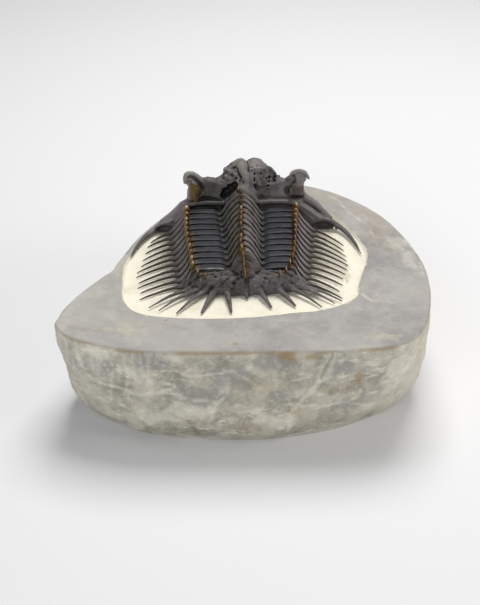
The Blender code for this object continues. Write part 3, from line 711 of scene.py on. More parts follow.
def tube(path, sizes, flat=1.0):
    """Points and faces of a closed tapering tube. flat squeezes its height."""
    path = np.asarray(path, float)
    ahead = np.gradient(path, axis=0)
    ahead /= np.linalg.norm(ahead, axis=1)[:, None]
    upright = np.abs(ahead[:, 2]) > 0.8
    reference = np.where(upright[:, None], (0.0, 1.0, 0.0), (0.0, 0.0, 1.0))
    side = np.cross(ahead, reference)
    side /= np.linalg.norm(side, axis=1)[:, None]
    rise = np.cross(side, ahead)
    turn = np.arange(TUBE_SIDES) / TUBE_SIDES * math.tau
    sizes = np.asarray(sizes, float)[:, None, None]
    ring = side[:, None] * np.cos(turn)[None, :, None] + rise[:, None] * np.sin(turn)[None, :, None] * flat
    return (path[:, None] + sizes * ring).reshape(-1, 3), strip_faces(len(path), TUBE_SIDES)


# %% [markdown]
# ## The thorax
# Eleven plates cover the body like roof tiles. Each one is an arch over the middle, a flat wing on each side
# as far as the row of standing spines, then a steep flank that ends in a long thin side spine on the floor of
# the dish. One plate is a strip: a section across it, swept along its crest line from the left spine tip to
# the right one. The section is a tile with two bands and a groove on top, and turns round where the strip
# becomes a spine.

# %% Sizes of the thorax, at its first plate and its last one
RIGHT, LEFT = 1, -1
PLATES = 11
PITCH = 2.95
GAP = 0.3
AXIS_HALF = (6.1, 4.4)
AXIS_TOP = (12.4, 10.6)
AXIS_ARCH = (1.5, 1.3)
WING_TOP = (7.4, 5.8)
FULCRUM = {RIGHT: (16.2, 12.9), LEFT: (16.2, 14.3)}
FLANK = {RIGHT: (21.6, 16.8), LEFT: (21.4, 18.2)}
FLANK_SWEEP = (2.0, 2.7)
SPINE_TIPS = {
    RIGHT: ((29.7, 30.1), (29.4, 27.1), (29.6, 23.9), (29.5, 21.2), (29.6, 18.8), (29.1, 16.3), (28.2, 14),
            (27.3, 11.6), (26.8, 8.3), (25.6, 5.1), (25.9, 1.6)),
    LEFT: ((27.1, 34.1), (27.9, 31.6), (28.4, 27.9), (29.1, 24), (29.4, 20.8), (30.5, 17.3), (30.6, 14.9),
           (29.8, 11.8), (30, 9.2), (29.2, 6.6), (29.3, 3.3)),
}
MIDDLE_ASIDE = (-0.15, -0.2, -0.4, -0.5, -0.6, -0.8, -0.95, -0.95, -1.15, -1.45, -1.3)


def at_plate(pair, y):
    """A size at y, between the first plate and the last one."""
    return pair[0] + (pair[1] - pair[0]) * (THORAX_FRONT - y) / (THORAX_FRONT - THORAX_REAR)


# how far out along a plate's side spine, its height there and half its width
SIDE_SPINE = ((0.12, 1.4, 0.50), (0.35, 1.2, 0.36), (0.6, 1, 0.27), (0.8, 0.88, 0.20), (0.93, 0.75, 0.13),
              (1, 0.6, 0.06))


def crest_line(number, side):
    """Half a plate, midline outwards: x, y, top, half length, edge depth, and how round its section is."""
    y = THORAX_FRONT - PITCH * number
    axis, top, arch, wing = (at_plate(v, y) for v in (AXIS_HALF, AXIS_TOP, AXIS_ARCH, WING_TOP))
    fulcrum, flank, sweep = at_plate(FULCRUM[side], y), at_plate(FLANK[side], y), at_plate(FLANK_SWEEP, y)
    tip, tip_y = SPINE_TIPS[side][number]
    half = (PITCH - GAP) / 2
    line = [(axis * out, y + arch * (1 - fall), top - (top - wing + 0.9) * fall, half, 0.9, 0)
            for out, fall in ((0, 0), (0.22, 0.07), (0.5, 0.31), (0.76, 0.65), (0.93, 0.90))]
    line += [
        (axis + 0.45, y + 0.02, wing - 0.86, half, 0.5, 0),
        (axis + 1.4, y - 0.05, wing - 0.38, half, 0.2, 0),
        (axis + 2.6, y - 0.1, wing - 0.05, half, 0.13, 0),
        ((axis + fulcrum) / 2 + 1.0, y - 0.15, wing + 0.1, half, 0.13, 0),
        (fulcrum - 1.3, y - 0.2, wing + 0.08, half, 0.25, 0),
        (fulcrum, y - 0.35, wing - 0.1, half * 1.02, 0.6, 0),
        (fulcrum + 0.9, y - 0.55, wing - 0.75, half * 1.07, 0.75, 0.05),
        (fulcrum * 0.6 + flank * 0.4, y - sweep * 0.45, wing * 0.66, half * 1.08, 0.8, 0.1),
        (fulcrum * 0.25 + flank * 0.75, y - sweep * 0.8, wing * 0.40, half * 1.02, 0.8, 0.25),
        (flank, y - sweep, 1.75, half * 0.66, 0.65, 0.6),
    ]
    for out, spine_top, spine_half in SIDE_SPINE:
        back = sweep + (y - tip_y - sweep) * out**1.45
        line.append((flank + (tip - flank) * out, y - back, spine_top, spine_half, 0.5, 1))
    return np.array(line)


print("spine tip of plate 1:", crest_line(0, RIGHT)[-1, :2].round(1))

# %% The section of a plate
TILE_ALONG = np.array((1.0, 0.93, 0.78, 0.58, 0.40, 0.24, 0.10, -0.04, -0.18, -0.36, -0.62, -0.86, -1.02,
                       -1.10, -1.12, -1.06))
TILE_DROP = np.array((1.35, 1.0, 0.66, 0.30, 0.10, 0.12, 0.27, 0.27, 0.12, 0.02, 0.0, 0.03, 0.14, 0.36, 0.70,
                      1.15))
UNDER_ALONG = np.array((-1.0, -0.5, 0.0, 0.5, 1.0))
TOP_TURNS = np.linspace(math.pi / 2, -math.pi / 2, len(TILE_ALONG))
UNDER_TURNS = np.radians((-120, -150, 180, 150, 120))
STEPS_ALONG_CREST = 7


def make_plate(number):
    """The crest line of one plate and its points, from tip to tip."""
    left = smooth_line(crest_line(number, LEFT), STEPS_ALONG_CREST)
    right = smooth_line(crest_line(number, RIGHT), STEPS_ALONG_CREST)
    left[:, 0] *= -1
    crest = np.vstack((left[::-1], right[1:]))
    x, along, top, half, depth, round_share = (crest[:, i, None] for i in range(6))
    round_share = np.clip(round_share, 0, 1)
    middle = (top + GAP) / 2
    tile_y = along + half * TILE_ALONG
    tile_z = np.maximum(top - TILE_DROP * depth, GAP + 0.1)
    round_y = along + half * np.sin(TOP_TURNS)
    round_z = middle + (top - middle) * np.cos(TOP_TURNS)
    under_y = along + half * ((1 - round_share) * UNDER_ALONG + round_share * np.sin(UNDER_TURNS))
    under_z = (1 - round_share) * GAP + round_share * (middle + (top - middle) * np.cos(UNDER_TURNS))
    ring_y = np.hstack((tile_y * (1 - round_share) + round_y * round_share, under_y))
    ring_z = np.hstack((tile_z * (1 - round_share) + round_z * round_share, under_z))
    points = np.stack((np.broadcast_to(x, ring_y.shape), ring_y, ring_z), axis=-1)
    return crest, points


# %% Masks of a plate
def ridge(values, middle, half_width):
    """A soft ridge of height 1 round the middle."""
    return np.exp(-((values - middle) / half_width) ** 2)


def plate_masks(crest, shape, y, number):
    """Where a plate is blue, purple, specked or browned by the amber, with painted highlight on its rear edge
    and painted shade in its gaps and grooves.
    """
    under = np.ones(len(UNDER_ALONG))
    x, round_share = (np.broadcast_to(v[:, None], shape) for v in (crest[:, 0], np.clip(crest[:, 5], 0, 1)))
    drop = np.broadcast_to(np.append(TILE_DROP, 1.3 * under), shape)
    along = np.broadcast_to(np.append(TILE_ALONG, 2 * under), shape)
    across, is_right, is_left = np.abs(x), x > 0, x < 0
    axis, fulcrum = at_plate(AXIS_HALF, y), at_plate(FULCRUM[RIGHT], y)
    wing = step(across, axis + 0.2, axis + 1.4) * fade(across, fulcrum - 0.5, fulcrum + 1.2)
    flank = step(across, fulcrum, fulcrum + 1.5)
    on_axis = fade(across, axis - 0.8, axis + 0.6)
    left_axis = on_axis * is_left * (1 - number / 16)
    to_row = np.minimum(np.abs(x + at_plate(FULCRUM[LEFT], y)), np.abs(x - at_plate(FULCRUM[RIGHT], y)) + 0.1)
    side_rows = 0.9 * fade(to_row, 0.7, 1.5)
    middle_row = fade(np.abs(x - 0.15 - MIDDLE_ASIDE[number]), 0.7, 1.5)
    behind_tail = (number == PLATES - 1) * (along < -0.7) * (x < -4) * fade(-x, 12.0, 14.0)
    # painted shade: the gap under each plate, the axial furrow and the groove across the top
    gap = step(drop, 0.45, 1.0) * (1 - round_share) * (1 - 0.8 * wing)
    furrow = 0.7 * ridge(across, axis + 0.3, 0.8)
    groove = (0.85 * wing + 0.4 * on_axis) * ridge(along, 0.05, 0.16)
    # a darker tone on the axis, the first wings and the side spines
    darker_tone = (0.14 * on_axis + 0.28 * left_axis + 0.2 * wing * (number < 4)
           + np.where(is_right, 0.2, 0.4) * round_share)
    purple = np.where(is_right, flank + (0.35 + 0.04 * number) * on_axis, flank * 0.45)
    specked_axis = on_axis * np.where(is_left, 0.6, 0.25) * fade(drop, 0.1, 0.4)
    return {
        "brown": np.maximum.reduce([middle_row, side_rows, 0.45 * round_share]),
        "pale": 0.4 * behind_tail + 0.35 * left_axis * ridge(along, -0.8, 0.16),
        "blue": wing,
        "purple": purple * (1 - 0.8 * round_share),
        # painted highlight along each plate's rear band, with some wear
        "edge": ridge(along, -0.75, 0.3) * (1 - round_share) * (1 - 0.9 * wing),
        "hollow": np.maximum.reduce([gap, furrow, groove]) + darker_tone,
        "specked": specked_axis + flank * (1 - round_share) * np.where(is_left, 0.55, 0.15),
    }


# %% The eleven plates
for number in range(PLATES):
    crest, points = make_plate(number)
    masks = plate_masks(crest, points.shape[:2], THORAX_FRONT - PITCH * number, number)
    masks = {mask: np.ravel(values) for mask, values in masks.items()}
    flat_points = points.reshape(-1, 3)
    patchy = cloud(flat_points, 1.4, 3, seed=20 + number)
    steady = step(flat_points[:, 2], 0.4, 1.6)
    on_axis = fade(np.abs(flat_points[:, 0]), 5.0, 6.5)
    flat_points[:, 2] += (0.06 + 0.14 * on_axis) * patchy * steady
    flat_points[:, 1] += (0.15 + 0.15 * on_axis) * cloud(flat_points, 2.6, 3, seed=40 + number) * steady
    # the painted highlight and the pale ridges vary in patches
    masks["edge"] = masks["edge"] * (1 + 0.9 * patchy)
    masks["pale"] = masks["pale"] * (1 + 1.5 * patchy)
    piece = mesh_piece(f"thorax_plate_{number + 1:02d}_shell", on_stone(flat_points),
                       strip_faces(*points.shape[:2]), shell, masks)
    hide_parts(f"thorax_plate_{number + 1:02d}")
    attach(piece, "root")
print("plates:", PLATES, "points each:", len(flat_points))

# %% [markdown]
# ## The standing spines of the thorax
# Three rows of short spines stand on the plates, one over the axis and one on each fulcrum. Each spine is a
# blunt blade that leans back over the next one, so from behind a row looks like one strip of amber. No two
# are alike in the stone: a table gives each its length, its tilt in colour from honey to brown, a painted
# glint on its tip and painted shade on its inner side.

# %% Every standing spine of the thorax
LEAN = math.radians(30)
BLADE_DEPTH = 1.1
BLADE_RINGS = 13
# plate by plate: length, half thickness, shift sideways, orange share, brown up to, painted tip glint, painted
# shade on the inner side
LEFT_BLADES = (
    (3.5, 1, 0, 0.3, 0, 0.8, 0.3), (2.5, 0.95, -0.15, 0.3, 0.2, 0, 0.6), (2.8, 0.8, -0.4, 0, 0.1, 0.5, 0.9),
    (3.4, 0.78, -0.55, 0, 0, 0.2, 1), (3.7, 0.76, -0.6, 0, 0, 0, 1), (3.8, 0.7, -0.6, 0.2, 0, 0, 0.9),
    (3.4, 0.62, -0.6, 0.6, 0, 0, 0.6), (4, 0.58, -0.45, 0.5, 0, 0.3, 0.4), (3.4, 0.6, -0.3, 0.2, 0.2, 0, 0.5),
    (3.6, 0.64, -0.3, 0.2, 0.1, 0.7, 0.5), (4, 0.6, -0.25, 0.3, 0.4, 0.6, 0.5),
)
MIDDLE_BLADES = (
    (2.3, 0.42, 0, 0.5, 1.2, 0.2, 0), (2.4, 0.42, 0, 0.5, 1.2, 0, 0), (2.3, 0.42, 0, 0.5, 1.2, 0, 0),
    (1.8, 0.48, 0, 1, 0.1, 0.7, 0), (1.9, 0.44, 0, 0.9, 0.8, 0, 0), (2.4, 0.44, 0, 0.9, 0.5, 0.2, 0),
    (2.2, 0.44, 0, 0.9, 0.85, 0.3, 0), (2.3, 0.44, 0, 0.8, 1.1, 0, 0), (2, 0.48, 0, 0.9, 0.3, 0.5, 0),
    (2.6, 0.48, 0, 0.7, 0.8, 0, 0), (2.7, 0.52, 0, 0.1, 0.2, 0.2, 0),
)
RIGHT_BLADES = (
    (4.2, 0.84, 0, 0.5, 0, 0.5, 0.2), (3.7, 0.86, 0, 0.5, 0, 0, 0.2), (4.2, 0.86, 0, 0.5, 0, 0, 0.4),
    (3.7, 0.84, 0, 0.4, 0.3, 0, 0.9), (4.1, 0.76, 0, 0.4, 0.5, 0, 1), (4.4, 0.56, 0.1, 0.1, 0.2, 0, 1),
    (3.9, 0.54, 0.1, 0.1, 0.2, 0, 1), (4.2, 0.48, 0.1, 0.2, 0.1, 0, 0.7), (3.8, 0.4, 0, 0.2, 0, 0, 0.4),
    (3.8, 0.38, -0.2, 0.5, 0, 0, 0.3), (3.7, 0.38, -0.8, 0.8, 0.1, 0.6, 0.3),
)


# %% One blade, and a piece made of blades
def standing_spine(x, y, foot, length, size):
    """A blade with a blunt tip: points, faces, each point's share of the way up and how far inwards it is."""
    share = np.linspace(0, 1, BLADE_RINGS)
    sunk = 1.0
    way_up = -sunk + share * (length + sunk)
    bend = LEAN * (0.6 + 0.7 * share)
    path = np.stack((np.full(BLADE_RINGS, x), y - np.sin(bend) * way_up, foot + np.cos(bend) * way_up), -1)
    sizes = size * np.interp(share, (0, 0.2, 0.5, 0.8, 0.93, 1), (1.1, 1.1, 1.0, 0.8, 0.52, 0.14))
    points, faces = tube(path, sizes, flat=BLADE_DEPTH / size)
    inwards = -np.sign(x) * (points[:, 0] - x) / size
    return points, faces, np.repeat(share, TUBE_SIDES), inwards


def spine_piece(name, spines):
    """One object from rows: a blade, its orange share, brown up to, painted tip glint and painted shade on the
    inner side.
    """
    points, faces, masks, count = [], [], {"foot": [], "deep": [], "tip": []}, 0
    for (blade_points, blade_faces, share, inwards), orange, brown_to, tip_glint, inner in spines:
        points.append(blade_points)
        faces += [[i + count for i in face] for face in blade_faces]
        count += len(blade_points)
        brown_foot = fade(share, brown_to - 0.15, brown_to + 0.2)
        # the foot mask: brown foot, and painted shade on the inner side of the blade
        masks["foot"].append(np.maximum(brown_foot, inner * step(inwards, -0.4, 0.1)))
        # painted glint at the tip
        masks["tip"].append(step(share, 0.93, 0.99) * tip_glint)
        masks["deep"].append(np.full(len(share), orange))
    masks = {mask: np.concatenate(values) for mask, values in masks.items()}
    piece = mesh_piece(name, on_stone(np.vstack(points)), faces, honey, masks)
    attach(piece, "root")
    return piece


# %% Stand them on the plates
for number in range(PLATES):
    y = THORAX_FRONT - PITCH * number
    on_wing = at_plate(WING_TOP, y) - 0.25
    crest_top, arch = at_plate(AXIS_TOP, y), at_plate(AXIS_ARCH, y)
    spines = []
    for x, foot, ahead, row in ((-at_plate(FULCRUM[LEFT], y), on_wing, -0.2, LEFT_BLADES),
                                (0.15 + MIDDLE_ASIDE[number], crest_top - 0.2, arch - 0.5, MIDDLE_BLADES),
                                (at_plate(FULCRUM[RIGHT], y), on_wing, -0.2, RIGHT_BLADES)):
        length, size, aside, *looks = row[number]
        spines.append((standing_spine(x + aside, y + ahead, foot, length, size), *looks))
    piece = spine_piece(f"standing_spines_{number + 1:02d}", spines)
print("standing spines:", 3 * PLATES, "points each:", len(piece.data.vertices) // 3)

# %% [markdown]
# ## Clay
# The head and the tail are lumpy and grown together, with no clean outline to sweep. They are modelled like
# clay: a block of small cells holds how far each cell is from the surface. A new lump melts into what is
# there, and a hollow is pressed in. At the end the surface at distance 0 is turned into a mesh.

# %% A block of clay
class Clay:
    """Cells that hold the distance to the surface, in millimetres: below zero is inside."""

    def __init__(self, low, high, cell):
        self.low, self.cell = np.array(low, float), cell
        count = np.ceil((np.array(high) - self.low) / cell).astype(int) + 1
        self.field = np.full(count, 4.0, np.float32)

    def window(self, low, high):
        """The cells between two corners, and their x, y and z."""
        count = self.field.shape
        first = np.clip(np.floor((np.array(low) - self.low) / self.cell).astype(int), 0, np.array(count) - 1)
        end = np.clip(np.ceil((np.array(high) - self.low) / self.cell).astype(int) + 1, first + 1, count)
        where = tuple(slice(a, b) for a, b in zip(first, end))
        x, y, z = ((self.low[i] + np.arange(first[i], end[i]) * self.cell).astype(np.float32)
                   for i in range(3))
        return where, x[:, None, None], y[None, :, None], z[None, None, :]

    def press(self, distance, low, high, melt, hollow=False):
        """Melts a shape into the clay, or presses it in as a hollow."""
        where, x, y, z = self.window(low, high)
        shape = distance(x, y, z)
        old = -self.field[where] if hollow else self.field[where]
        share = np.clip(0.5 + 0.5 * (old - shape) / melt, 0, 1)
        new = old * (1 - share) + shape * share - melt * share * (1 - share)
        self.field[where] = -new if hollow else new

    def ball(self, centre, size, melt=0.4, hollow=False):
        """A ball or an egg: size is one radius or three."""
        centre, size = np.asarray(centre, float), np.broadcast_to(np.array(size, float), 3)
        margin = size + 1.6 + melt

        def distance(x, y, z):
            offsets = [v - c for v, c in zip((x, y, z), centre)]
            near = np.sqrt(sum((o / s) ** 2 for o, s in zip(offsets, size)))
            steep = np.sqrt(sum((o / s**2) ** 2 for o, s in zip(offsets, size))) + 1e-6
            return near * (near - 1) / steep

        self.press(distance, centre - margin, centre + margin, melt, hollow)

    def limb(self, path, sizes, melt=0.4, flat=1.0, hollow=False):
        """A round bar along a line, with a radius at each point. flat squeezes its height."""
        path = np.asarray(path, float)
        sizes = np.broadcast_to(np.asarray(sizes, float), len(path))
        margin = sizes.max() + 1.6 + melt

        def distance(x, y, z):
            nearest = None
            for a, b, size_a, size_b in zip(path, path[1:], sizes, sizes[1:]):
                d = b - a
                share = ((x - a[0]) * d[0] + (y - a[1]) * d[1] + (z - a[2]) * d[2]) / (d @ d)
                share = np.clip(share, 0, 1)
                gap = np.sqrt((x - a[0] - share * d[0]) ** 2 + (y - a[1] - share * d[1]) ** 2
                              + ((z - a[2] - share * d[2]) / flat) ** 2)
                gap = gap - (size_a + share * (size_b - size_a))
                nearest = gap if nearest is None else np.minimum(nearest, gap)
            return nearest

        self.press(distance, path.min(0) - margin, path.max(0) + margin, melt, hollow)

    def balls(self, table, melt, hollow=False):
        """Balls and eggs from rows of x, y, z and one radius or three."""
        for x, y, z, *size in table:
            self.ball((x, y, z), size, melt, hollow)

    def bar(self, points, steps, sizes, melt, shares=None, flat=1.0, hollow=False):
        """A limb along a smooth line through the points, its radii evenly along it or at given shares."""
        line = smooth_line(points, steps)
        shares = np.linspace(0, 1, len(sizes)) if shares is None else shares
        self.limb(line, np.interp(np.linspace(0, 1, len(line)), shares, sizes), melt, flat, hollow)

    def limbs(self, table, hollow=False):
        """Limbs from rows of a line, its radius or radii, and how softly it melts in."""
        for path, sizes, melt in table:
            self.limb(path, sizes, melt, hollow=hollow)

    def flatten(self, low, high):
        """Cuts everything below the gap over the dish floor, from one corner to the other."""
        self.press(lambda x, y, z: z - GAP + 0 * x + 0 * y, low, (*high[:2], GAP + 0.8), 0.01, hollow=True)

    def touch(self, inside, direction):
        """Where a line from a point inside the clay comes out of it."""
        direction = np.array(direction, float) / np.linalg.norm(direction)
        travel = np.arange(30.0, 0.0, -self.cell / 2)
        places = np.array(inside) + travel[:, None] * direction
        cells = np.round((places - self.low) / self.cell).astype(int)
        within = ((cells >= 0) & (cells < self.field.shape)).all(1)
        places, cells = places[within], cells[within]
        solid = self.field[cells[:, 0], cells[:, 1], cells[:, 2]] < 0
        return places[np.argmax(solid)]

    def fullness(self, places, reach):
        """The share of the space round each place that is clay: low on an edge and high in a hollow."""
        clay = np.clip(0.5 - self.field / (2 * self.cell), 0, 1)
        cells = round(reach / self.cell)
        for axis in range(3):
            total = np.cumsum(clay, axis=axis)
            last = clay.shape[axis] - 1
            ahead = np.take(total, np.minimum(np.arange(last + 1) + cells, last), axis=axis)
            behind = np.take(total, np.maximum(np.arange(last + 1) - cells - 1, 0), axis=axis)
            clay = (ahead - behind) / (2 * cells + 1)
        spot = (places - self.low) / self.cell
        first = np.clip(np.floor(spot).astype(int), 0, np.array(clay.shape) - 2)
        share = spot - first
        result = 0
        for corner in np.ndindex(2, 2, 2):
            weight = np.prod(np.where(corner, share, 1 - share), axis=1)
            result = result + weight * clay[tuple((first + corner).T)]
        return result

    def skin(self):
        """The surface as points in fossil millimetres and faces of four points."""
        grid = openvdb.FloatGrid(4.0)
        grid.copyFromArray(self.field)
        points, _, quads = grid.convertToPolygons(isovalue=0.0, adaptivity=0.0)
        return points * self.cell + self.low, quads[:, ::-1].tolist()


# %% [markdown]
# ## The tail shield
# The tail is one plate: a short tapering end of the axis with rings on it, ribs that fan out beside it, and a
# rough, broken margin that runs out into flat spines. Its top is given as a height over the dish floor, with
# the rings and the ribs as waves on it. The clay takes that body, then a limb for each spine, then lumps and
# hollows.

# %% Sizes of the tail
TAIL_FRONT = THORAX_REAR - PITCH / 2 - 0.1
TAIL_DEPTH = TAIL_FRONT - 4.7
TAIL_CELL = 0.2
TAIL_LOW, TAIL_HIGH = (-29, -6, -0.4), (28, 12.2, 11.6)
AXIS_END = 3.6
TAIL_SPINES = (
    ((15.6, 6.8), (25.6, 0.1)), ((14.6, 6.3), (23.5, -0.9)), ((12.2, 5.8), (19.8, -2.6)),
    ((8.8, 5.2), (12.7, -1.6)), ((3.4, 4.9), (6.2, -2.1)), ((-0.7, 4.9), (0, 2.6)),
    ((-15.6, 6.6), (-26.7, -1)), ((-13.8, 6), (-24, -2.5)), ((-11.4, 5.6), (-19.2, -4)),
    ((-8.9, 5.2), (-12.5, -3.8)), ((-5.4, 4.9), (-4.6, -4)),
)
TAIL_HOLLOWS = ((-8.6, 7.6), (-3.4, 5.6))
ROOF_OUT = (0, 0.22, 0.5, 0.78, 1)
ROOF_FALL = (0, 0.07, 0.31, 0.68, 1)


def roof(x, half):
    """How far the axis has fallen at x: 0 on its crest and 1 at its side."""
    return np.interp(np.abs(x) / half, ROOF_OUT, ROOF_FALL)


def tail_top(x, y):
    """Height of the tail's top over the dish floor, and how far out the point is: 1 on the margin."""
    behind = np.clip(TAIL_FRONT - y, 0.0, None)
    fulcrum = np.where(x > 0, FULCRUM[RIGHT][1], FULCRUM[LEFT][1]) - 0.4
    margin = np.where(x > 0, FLANK[RIGHT][1], FLANK[LEFT][1]) - 0.3
    ahead = np.clip(behind - 1.2, 0, None)
    along_axis = np.clip(behind / AXIS_END, 0, 1)
    fallen = roof(x, np.maximum(AXIS_HALF[1] * (1 - along_axis) ** 0.7, 0.05))
    inner = np.sqrt((x / fulcrum) ** 2 + (behind / (TAIL_DEPTH - 1.1)) ** 2)
    outer = np.sqrt((x / margin) ** 2 + (ahead / (TAIL_DEPTH - 1.0)) ** 2)
    fan = np.arctan2(behind * 2.6 + 0.8, np.abs(x) + 0.6)
    ribs = (0.2 * np.cos(fan * 22.0) + 0.1 * np.cos(fan * 51.0 + 1)) * step(inner, 0.3, 0.6)
    field_top = 5.2 - 1.2 * (behind / TAIL_DEPTH) + ribs
    slope = np.clip((inner - 1) / np.maximum(inner - 1 + 1.02 - outer, 0.05), 0, 1) ** 1.4
    field_top = field_top * (1 - slope) + 1.7 * slope
    rings = 0.22 * np.cos(behind * 4.6 + 0.12 * x**2) * fade(behind, 3.2, 4.2)
    crest = AXIS_TOP[1] - 0.45 - 4.8 * along_axis + rings
    return crest - (crest - field_top) * fallen, outer


print("tail top at its middle:", round(float(tail_top(np.array(0.0), np.array(8.0))[0]), 2))

# %% The tail's body and its spines
tail = Clay(TAIL_LOW, TAIL_HIGH, TAIL_CELL)


def tail_body(x, y, z):
    """Rough distance to the tail's body, without its spines."""
    top, outer = tail_top(x, y)
    arch = AXIS_ARCH[1] * (1 - roof(x, AXIS_HALF[1]))
    return np.maximum.reduce([(z - top) * 0.55, (outer - 1) * 7.0 + 0 * z, y - TAIL_FRONT - arch + 0 * z])


def on_tail(x, y, sunk):
    """A point just under the tail's top."""
    return (x, y, float(tail_top(np.array(x), np.array(y))[0]) - sunk)


tail.press(tail_body, (-20, 2, -0.4), (20, 12.2, 11.6), 0.01)
for root, tip in TAIL_SPINES:
    outer = step(abs(tip[0]), 14, 22)
    behind = TAIL_FRONT - root[1]
    start = on_tail(root[0] * 0.55, root[1] + behind * 0.6, 0.4)
    middle = on_tail(root[0] * 0.84, root[1] + behind * 0.26, 0.55)
    root, tip = np.array((*root, 1.7)), np.array((*tip, 0.66))
    bend = (root + tip) / 2 + (0, 0.1 + 0.7 * outer, 0.05)
    sizes = (0.1, 0.4, 1.0 - 0.25 * outer, 0.68 - 0.22 * outer, 0.36 - 0.18 * outer)
    tail.bar((start, middle, root, bend, tip), 6, sizes, 0.9, flat=0.8)
print("tail spines:", len(TAIL_SPINES))

# %% Lumps and hollows of the tail, and its surface
lumps = np.random.default_rng(5)
for _ in range(90):
    x = lumps.uniform(-14.5, 12)
    y = TAIL_FRONT - TAIL_DEPTH * math.sqrt(max(0.02, 1 - (x / 16.5) ** 2)) * lumps.uniform(0.3, 0.98)
    tail.ball(on_tail(x, y, 0.2), lumps.uniform(0.2, 0.48), 0.25)
for place in TAIL_HOLLOWS:
    tail.ball(on_tail(*place, -0.1), (0.55, 0.4, 0.5), 0.2, hollow=True)
tail.flatten(TAIL_LOW, TAIL_HIGH)
points, faces = tail.skin()
points[:, 2] += 0.24 * cloud(points, 1.1, 4, seed=60) * step(points[:, 2], 0.9, 2.2)
print("tail:", len(points), "points")

# %% Masks of the tail, and the piece
full = tail.fullness(points, 0.8)
x, _, z = points.T
body = step(z, 1.6, 2.6)
masks = {
    "purple": 0.4 * step(cloud(points, 5.0, 2, seed=61), -0.2, 0.4) + 0.35 * step(x, -1, 1),
    # painted shade in the tail's hollows, on a darker tone all over
    "hollow": (step(full, 0.50, 0.66) + 0.24 + 0.14 * body
               + 0.25 * step(-cloud(points, 0.9, 3, seed=62), 0.2, 0.6)),
    # lighter ridges: painted highlight and wear
    "edge": 0.7 * step(-full, -0.44, -0.30) * body + 0.4 * step(cloud(points, 1.1, 3, seed=63), 0.3, 0.7),
    "specked": 0.3 * (x < -2),
    "brown": 0.8 * fade(np.abs(x - 0.2), 0.5, 1.3) * (z > 4),
}
tail_piece = mesh_piece("tail_shield_shell", on_stone(points), faces, shell, masks)
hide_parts("tail_shield")
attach(tail_piece, "root")

# %% Standing spines of the tail
TAIL_BLADES = (
    (-0.85, 9.8, 9.6, 2.5, 0.44), (-0.75, 9.1, 8.5, 2.3, 0.42), (-0.65, 8.4, 7.4, 2.2, 0.40),
    (-0.6, 7.7, 6.4, 2, 0.38), (-0.4, 6.9, 5.4, 1.8, 0.36), (-13.3, 9.1, 4.7, 2.9, 0.5),
    (-11.4, 7.8, 4.4, 2.3, 0.42), (10.9, 9.1, 4.7, 2.9, 0.42), (9.1, 8, 4.4, 3, 0.36),
)
# each blade: orange share, brown up to, painted tip glint, painted shade on the inner side
TAIL_BLADE_LOOKS = (
    (0.1, 0.6, 0.1, 0.3), (0.3, 0.75, 0, 0.3), (0.3, 0.7, 0.1, 0.3), (0.3, 0.75, 0, 0.3), (0, 0.5, 0.1, 0.3),
    (0.9, 0.4, 0.4, 0.3), (0, 0.6, 0, 0.3), (0.9, 0.3, 0.4, 0.3), (0.9, 0.2, 0.5, 0.3),
)
spine_piece("tail_standing_spines",
            [(standing_spine(*row), *looks) for row, looks in zip(TAIL_BLADES, TAIL_BLADE_LOOKS)])
print("tail blades:", len(TAIL_BLADES))

# %% [markdown]
# ## The head shield
# The head is the showpiece. Between two tall eyes under curled hoods lies the glabella, a swollen crown with
# warts, pits and a smooth ridge down its middle. Saddles join it to the eyes, a rolled edge closes it behind,
# and the cheeks run out into lips and long corner spines. Everything grew as one, so it is all one block of
# clay.

# %% The cheeks and the saddles
HEAD_REAR = THORAX_FRONT + PITCH / 2 + 0.25
HEAD_DEPTH = 17.6
HEAD_CELL = 0.22
CHEEK_X = (-25.8, -24.2, -22.2, -20.9, -19.6, -18.2, -16.2, -5.5, 5.5, 16, 18, 19.5, 21.8, 24, 26, 27.5)
CHEEK_Z = (0.6, 1.8, 2.6, 3.8, 5.3, 6.9, 8, 8.4, 8.6, 8.9, 9.6, 10.1, 8.5, 7, 4.4, 1.2)
REAR_EDGE_X = (-26.5, -25.5, -24.5, -23.2, -21.6, -20.6, -19.7, -18, -16.7, -15.6,
               15.6, 16.4, 17.2, 18.9, 21, 22.4, 24.6, 26.7, 27.6, 28.5)
REAR_EDGE_Z = (0.8, 2.1, 2.8, 3.2, 3.6, 3.3, 3.5, 4.8, 6, 8.4,
               8.9, 8.1, 7.4, 5.7, 4, 3.7, 3.8, 3.4, 2.9, 1)
SADDLE_X = (-13.4, -12.9, -11.5, -9.3, -7.3, -5.9, 5.4, 6.7, 8.2, 11.1, 13.4, 15.4, 16.5)
SADDLE_Z = (14.7, 15.2, 15.1, 14.3, 13.9, 14.5, 11.2, 10.6, 11.4, 13.2, 13.8, 14.6, 15)
SADDLE_Y = HEAD_REAR + 4.5
SADDLE_THICK, SADDLE_FALL = 2.6, 6.5
HEAD_MIDDLE = 1.5
HEAD_LOW, HEAD_HIGH = (-36, 22.5, -0.5), (36.5, 62, 20.5)


def head_rear(x):
    """The rear edge: pushed forward by the first plate's arch, and swept back out on the cheeks."""
    arch = np.clip(1.5 * (1 - np.abs(x) / 6.0), 0, None)
    return HEAD_REAR + arch - 0.4 * np.clip(np.abs(x) - 16.2, 0, 5.5)


